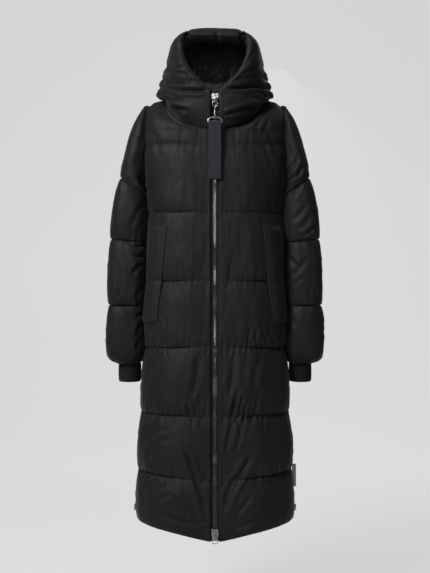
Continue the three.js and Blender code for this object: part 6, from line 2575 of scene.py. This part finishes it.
@dataclass
class Welts:
    """The padded welts over the slanted pockets."""

    lines: tuple[float, ...] = (3.38, 3.7, 4.0, 4.22, 4.5, 4.8)
    top_part: tuple[float, float] = (0.405, 0.68)
    low_part: tuple[float, float] = (0.505, 0.79)
    edge: float = 1.6
    middle: float = 7.0
    rows: int = 72
    columns: int = 22

    def surfaces(self, panel: Panel) -> tuple[Array, Array, Array]:
        """The welt's outer and inner faces and its normals.

        Args:
            panel: the panel.

        Returns:
            The outer and inner faces, and the normals.
        """
        share = np.linspace(0, 1, self.rows)
        line = np.interp(share * (len(self.lines) - 1), np.arange(len(self.lines)), self.lines)
        bend = 1 - share
        start, end = mix(self.top_part[0], self.low_part[0], bend), mix(
            self.top_part[1], self.low_part[1], bend
        )
        t = np.linspace(0, 1, self.columns)[None]
        part = mix(start[:, None], end[:, None], t)
        where = line[:, None] + 0 * part
        fill = np.interp(where - 0.5, np.arange(7), panel.body.fills)
        hollow = 0.6 * fill * (1 - puff(where - np.floor(where)))
        base, normals = panel.skin_at(part, where, panel.base), unit(
            panel.skin_at(part, where, panel.normals)
        )
        from_edge = np.minimum(np.minimum(t, 1 - t) * 45.0, np.minimum(share, 1 - share)[:, None] * 230.0)
        uneven = Unevenness(5 + panel.sign)
        soft = 0.9 * uneven.rough(part * 18, where * 5) * smooth(from_edge / 9.0)
        thick = mix(self.edge, self.middle, smooth(from_edge / 13.0) ** 0.7)
        dip = 0.7 * np.exp(-(((from_edge - 4.0) / 1.6) ** 2))
        outer = base + normals * (1.0 + hollow + thick + soft - dip)[..., None]
        return outer, base + normals * (0.2 + 0 * hollow)[..., None], normals

    def build(self, body: BodyShells, finishes: Wardrobe) -> None:
        """Makes both welts and their edge stitching.

        Args:
            body: the body.
            finishes: the coat's finishes.
        """
        for name, panel in (("left", body.front_left), ("right", body.front_right)):
            outer, inner, normals = self.surfaces(panel)
            skin = wall(outer, inner, roll=Roll(1.2, 1.2, 1.2, 1.2), lining=0)
            skin, solid = skin.on_side(panel.sign), f"pocket_welt_{name}"
            welt = put(f"pocket_welt_shell_{name}", skin, [finishes.shell], COAT, (solid,))
            loop, up = self.round_edge(outer), self.round_edge(normals)
            sewing = stitches(loop + up * 0.15, up).on_side(panel.sign)
            put(f"welt_sewing_{name}", sewing, [finishes.thread], COAT)

    def round_edge(self, grid: Array) -> Array:
        """Values of a grid along its stitched edge, two points in from its own."""
        a, b = 2, -3
        return np.concatenate([grid[a:b, a], grid[b, a:b], grid[a:b, b][::-1], grid[a, a:b][::-1]])


@dataclass
class Trims:
    """The press studs at the hem's side seams and the blank tab in the left one."""

    stud_part: float = 0.9
    stud_line: float = 0.29
    tab_high: float = -938.0
    tab_low: float = -996.0
    tab_out: float = 8.0

    def stud(self, panel: Panel) -> Skin:
        """One press stud: a domed cap with a rolled rim, in its own place on the panel.

        Args:
            panel: the panel.

        Returns:
            The stud as a skin.
        """
        part, line = np.array([self.stud_part]), np.array([self.stud_line])
        spot, normal = panel.skin_at(part, line, panel.base)[0], unit(
            panel.skin_at(part, line, panel.normals)
        )[0]
        profile = [(0.6, 3.4), (3.0, 3.3), (5.2, 2.9), (6.3, 2.3), (6.8, 2.6)]
        profile += [(7.5, 2.9), (8.1, 2.5), (8.3, 1.6), (8.2, 0.4), (7.8, -1.5)]
        side = unit(np.cross(normal, [0.0, 0.0, 1.0]))
        up = np.cross(side, normal)
        angle = np.linspace(0, 2 * math.pi, 40, endpoint=False)
        way = side[None] * np.cos(angle)[:, None] + up[None] * np.sin(angle)[:, None]
        grid = np.array([spot + normal * (height + 2.2) + radius * way for radius, height in profile])
        inner = grid - normal * 0.8
        return wall(grid[::-1], inner[::-1], closed=True, roll=Roll(0.2, 0.2), lining=0)

    def tab(self) -> Skin:
        """A folded ribbon tab, blank on both faces."""
        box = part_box("side_tab")
        low, high = np.array(box[0]) / MM, np.array(box[1]) / MM
        turn = np.linspace(0, 1, 36)
        out = mix(low[0] - 2.0, high[0], np.sin(turn * math.pi) ** 0.35)
        y = 0.55 * np.cos(turn * math.pi) ** 3 + 0.5 * np.cos(turn * math.pi)
        z = np.linspace(low[2], high[2], 60)[:, None]
        wavy = 0.8 * np.sin((z - low[2]) / 15.0) * ((out - low[0]) / 8.0)[None]
        grid = np.stack([out[None] + 0 * z, y[None] + wavy, z + 0 * out[None]], -1)
        normals = grid_normals(grid)
        return wall(grid, grid - normals * 0.35, roll=Roll(0.15, 0.15, 0.1, 0.1), lining=0)

    def build(self, body: BodyShells, finishes: Wardrobe) -> None:
        """Makes the studs and the tab.

        Args:
            body: the body.
            finishes: the coat's finishes.
        """
        for name, panel in (("left", body.front_left), ("right", body.front_right)):
            skin, solid = self.stud(panel).on_side(panel.sign), f"press_stud_{name}"
            put(f"stud_cap_{name}", skin, [finishes.gunmetal], COAT, (solid,))
        tab = put("blank_side_tab", self.tab(), [finishes.ribbon], COAT, ("side_tab",))


# Studio


@dataclass
class Studio:
    """The plain pale room, its soft lights and the camera."""

    backdrop: Color = (0.35, 0.35, 0.35)
    glow: float = 0.56
    floor_z: float = -1.34
    wall_y: float = 3.7
    curve: float = 1.0
    half_width: float = 1.6
    wall_top: float = 1.6
    floor: Color = (0.5, 0.5, 0.5)
    floor_start: float = 0.42
    floor_half: float = 3.0
    floor_front: float = -3.2
    floor_glow: float = 0.12
    room_light: float = 0.06
    lens: float = 74.9

    def sheet(
        self, name: str, line: list[tuple[float, float]], width: float, color: Color, glow: float
    ) -> None:
        """Makes a plain surface of the room along a line of (y, z) spots.

        Args:
            name: its name.
            line: spots of (y, z) along the surface.
            width: half its width.
            color: its colour.
            glow: how much light it gives.
        """
        points = [(x, y, z) for y, z in line for x in (-width, width)]
        faces = [(2 * k, 2 * k + 1, 2 * k + 3, 2 * k + 2) for k in range(len(line) - 1)]
        mesh = bpy.data.meshes.new(name)
        mesh.from_pydata(points, [], faces)
        mesh.shade_smooth()
        n = Nodes(name)
        n.set(Base_Color=(*color, 1.0), Roughness=0.95, Specular_IOR_Level=0.1)
        n.set(Emission_Color=(1.0, 1.0, 1.0, 1.0), Emission_Strength=glow)
        mesh.materials.append(n.material)
        surface = bpy.data.objects.new(name, mesh)
        bpy.context.scene.collection.objects.link(surface)

    def room(self) -> None:
        """Makes the floor under the coat, and the lit one behind it that curves up into a wall."""
        angle = np.linspace(0, QUARTER, 24)
        bend_y = self.wall_y - self.curve + self.curve * np.sin(angle)
        bend_z = self.floor_z + self.curve - self.curve * np.cos(angle)
        y = np.concatenate([[self.floor_start], bend_y, [self.wall_y]])
        z = np.concatenate([[self.floor_z], bend_z, [self.wall_top]])
        self.sheet("backdrop", list(zip(y, z)), self.half_width, self.backdrop, self.glow)
        under = [(self.floor_front, self.floor_z), (self.floor_start, self.floor_z)]
        self.sheet("floor", under, self.floor_half, self.floor, self.floor_glow)

    def light(
        self,
        name: str,
        place: tuple[float, ...],
        aim: tuple[float, ...],
        size: tuple[float, float],
        power: float,
    ) -> None:
        """Adds a soft rectangular light.

        Args:
            name: the light's name.
            place: where it stands.
            aim: the spot that it points at.
            size: its width and height.
            power: its power in watts.
        """
        data = bpy.data.lights.new(name, "AREA")
        data.shape, data.size, data.size_y, data.energy = "RECTANGLE", size[0], size[1], power
        lamp = bpy.data.objects.new(name, data)
        lamp.location = place
        way = Vector(aim) - Vector(place)
        lamp.rotation_mode = "QUATERNION"
        lamp.rotation_quaternion = way.to_track_quat("-Z", "Y")
        bpy.context.scene.collection.objects.link(lamp)

    def lights(self) -> None:
        """Adds the lights and the even light of the room."""
        self.light("key", (-1.45, -1.95, 1.2), (0, 0, -0.2), (0.9, 1.1), 54)
        self.light("front", (-0.3, -3.5, 0.25), (0, 0, -0.3), (0.5, 0.9), 6)
        self.light("top", (-0.6, -0.5, 1.9), (0, 0, -0.4), (1.2, 0.9), 5)
        self.light("back", (1.0, 3.3, 1.2), (0, 0, -0.4), (1.4, 1.0), 16)
        world = bpy.data.worlds.new("room_light")
        world.use_nodes = True
        sockets = world.node_tree.nodes["Background"].inputs
        sockets["Color"].default_value = (1, 1, 1, 1)
        sockets["Strength"].default_value = self.room_light
        bpy.context.scene.world = world
        bpy.context.scene.view_settings.view_transform = "Standard"

    def camera(self) -> None:
        """Places the camera at the photograph's angle."""
        data = bpy.data.cameras.new("camera")
        data.lens = self.lens
        camera = bpy.data.objects.new("camera", data)
        camera.location = (0.0, -EYE_DISTANCE * MM, EYE_HEIGHT * MM)
        camera.rotation_euler = (QUARTER, 0.0, 0.0)
        bpy.context.scene.collection.objects.link(camera)
        bpy.context.scene.camera = camera


def main() -> None:
    """Builds the room and the coat, piece by piece."""
    studio = Studio()
    studio.camera()
    studio.room()
    studio.lights()
    finishes = Wardrobe()
    body = BodyShells()
    body.build(finishes)
    LOG.info("body done")
    Sleeves().build(body, finishes)
    LOG.info("sleeves done")
    hood = HoodShells()
    hood.build(body, finishes)
    LOG.info("hood done")
    zipper = Zip()
    base, _, _ = hood.hood.face(body.front_left, body.back_left)
    zipper.set_line(body.front_left, hood.hood, base, grid_normals(base))
    zipper.flap(finishes)
    zipper.tapes(finishes)
    zipper.teeth(finishes)
    zipper.slider("upper_slider", zipper.top_slider, finishes.silver, "top_slider")
    zipper.slider("lower_slider", zipper.low_slider, finishes.gunmetal, "bottom_slider")
    zipper.box_end(finishes)
    Pulls().build(finishes)
    LOG.info("zip and pulls done")
    Welts().build(body, finishes)
    Trims().build(body, finishes)
    LOG.info("trims done")
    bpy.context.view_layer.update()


if __name__ == "__main__":
    main()
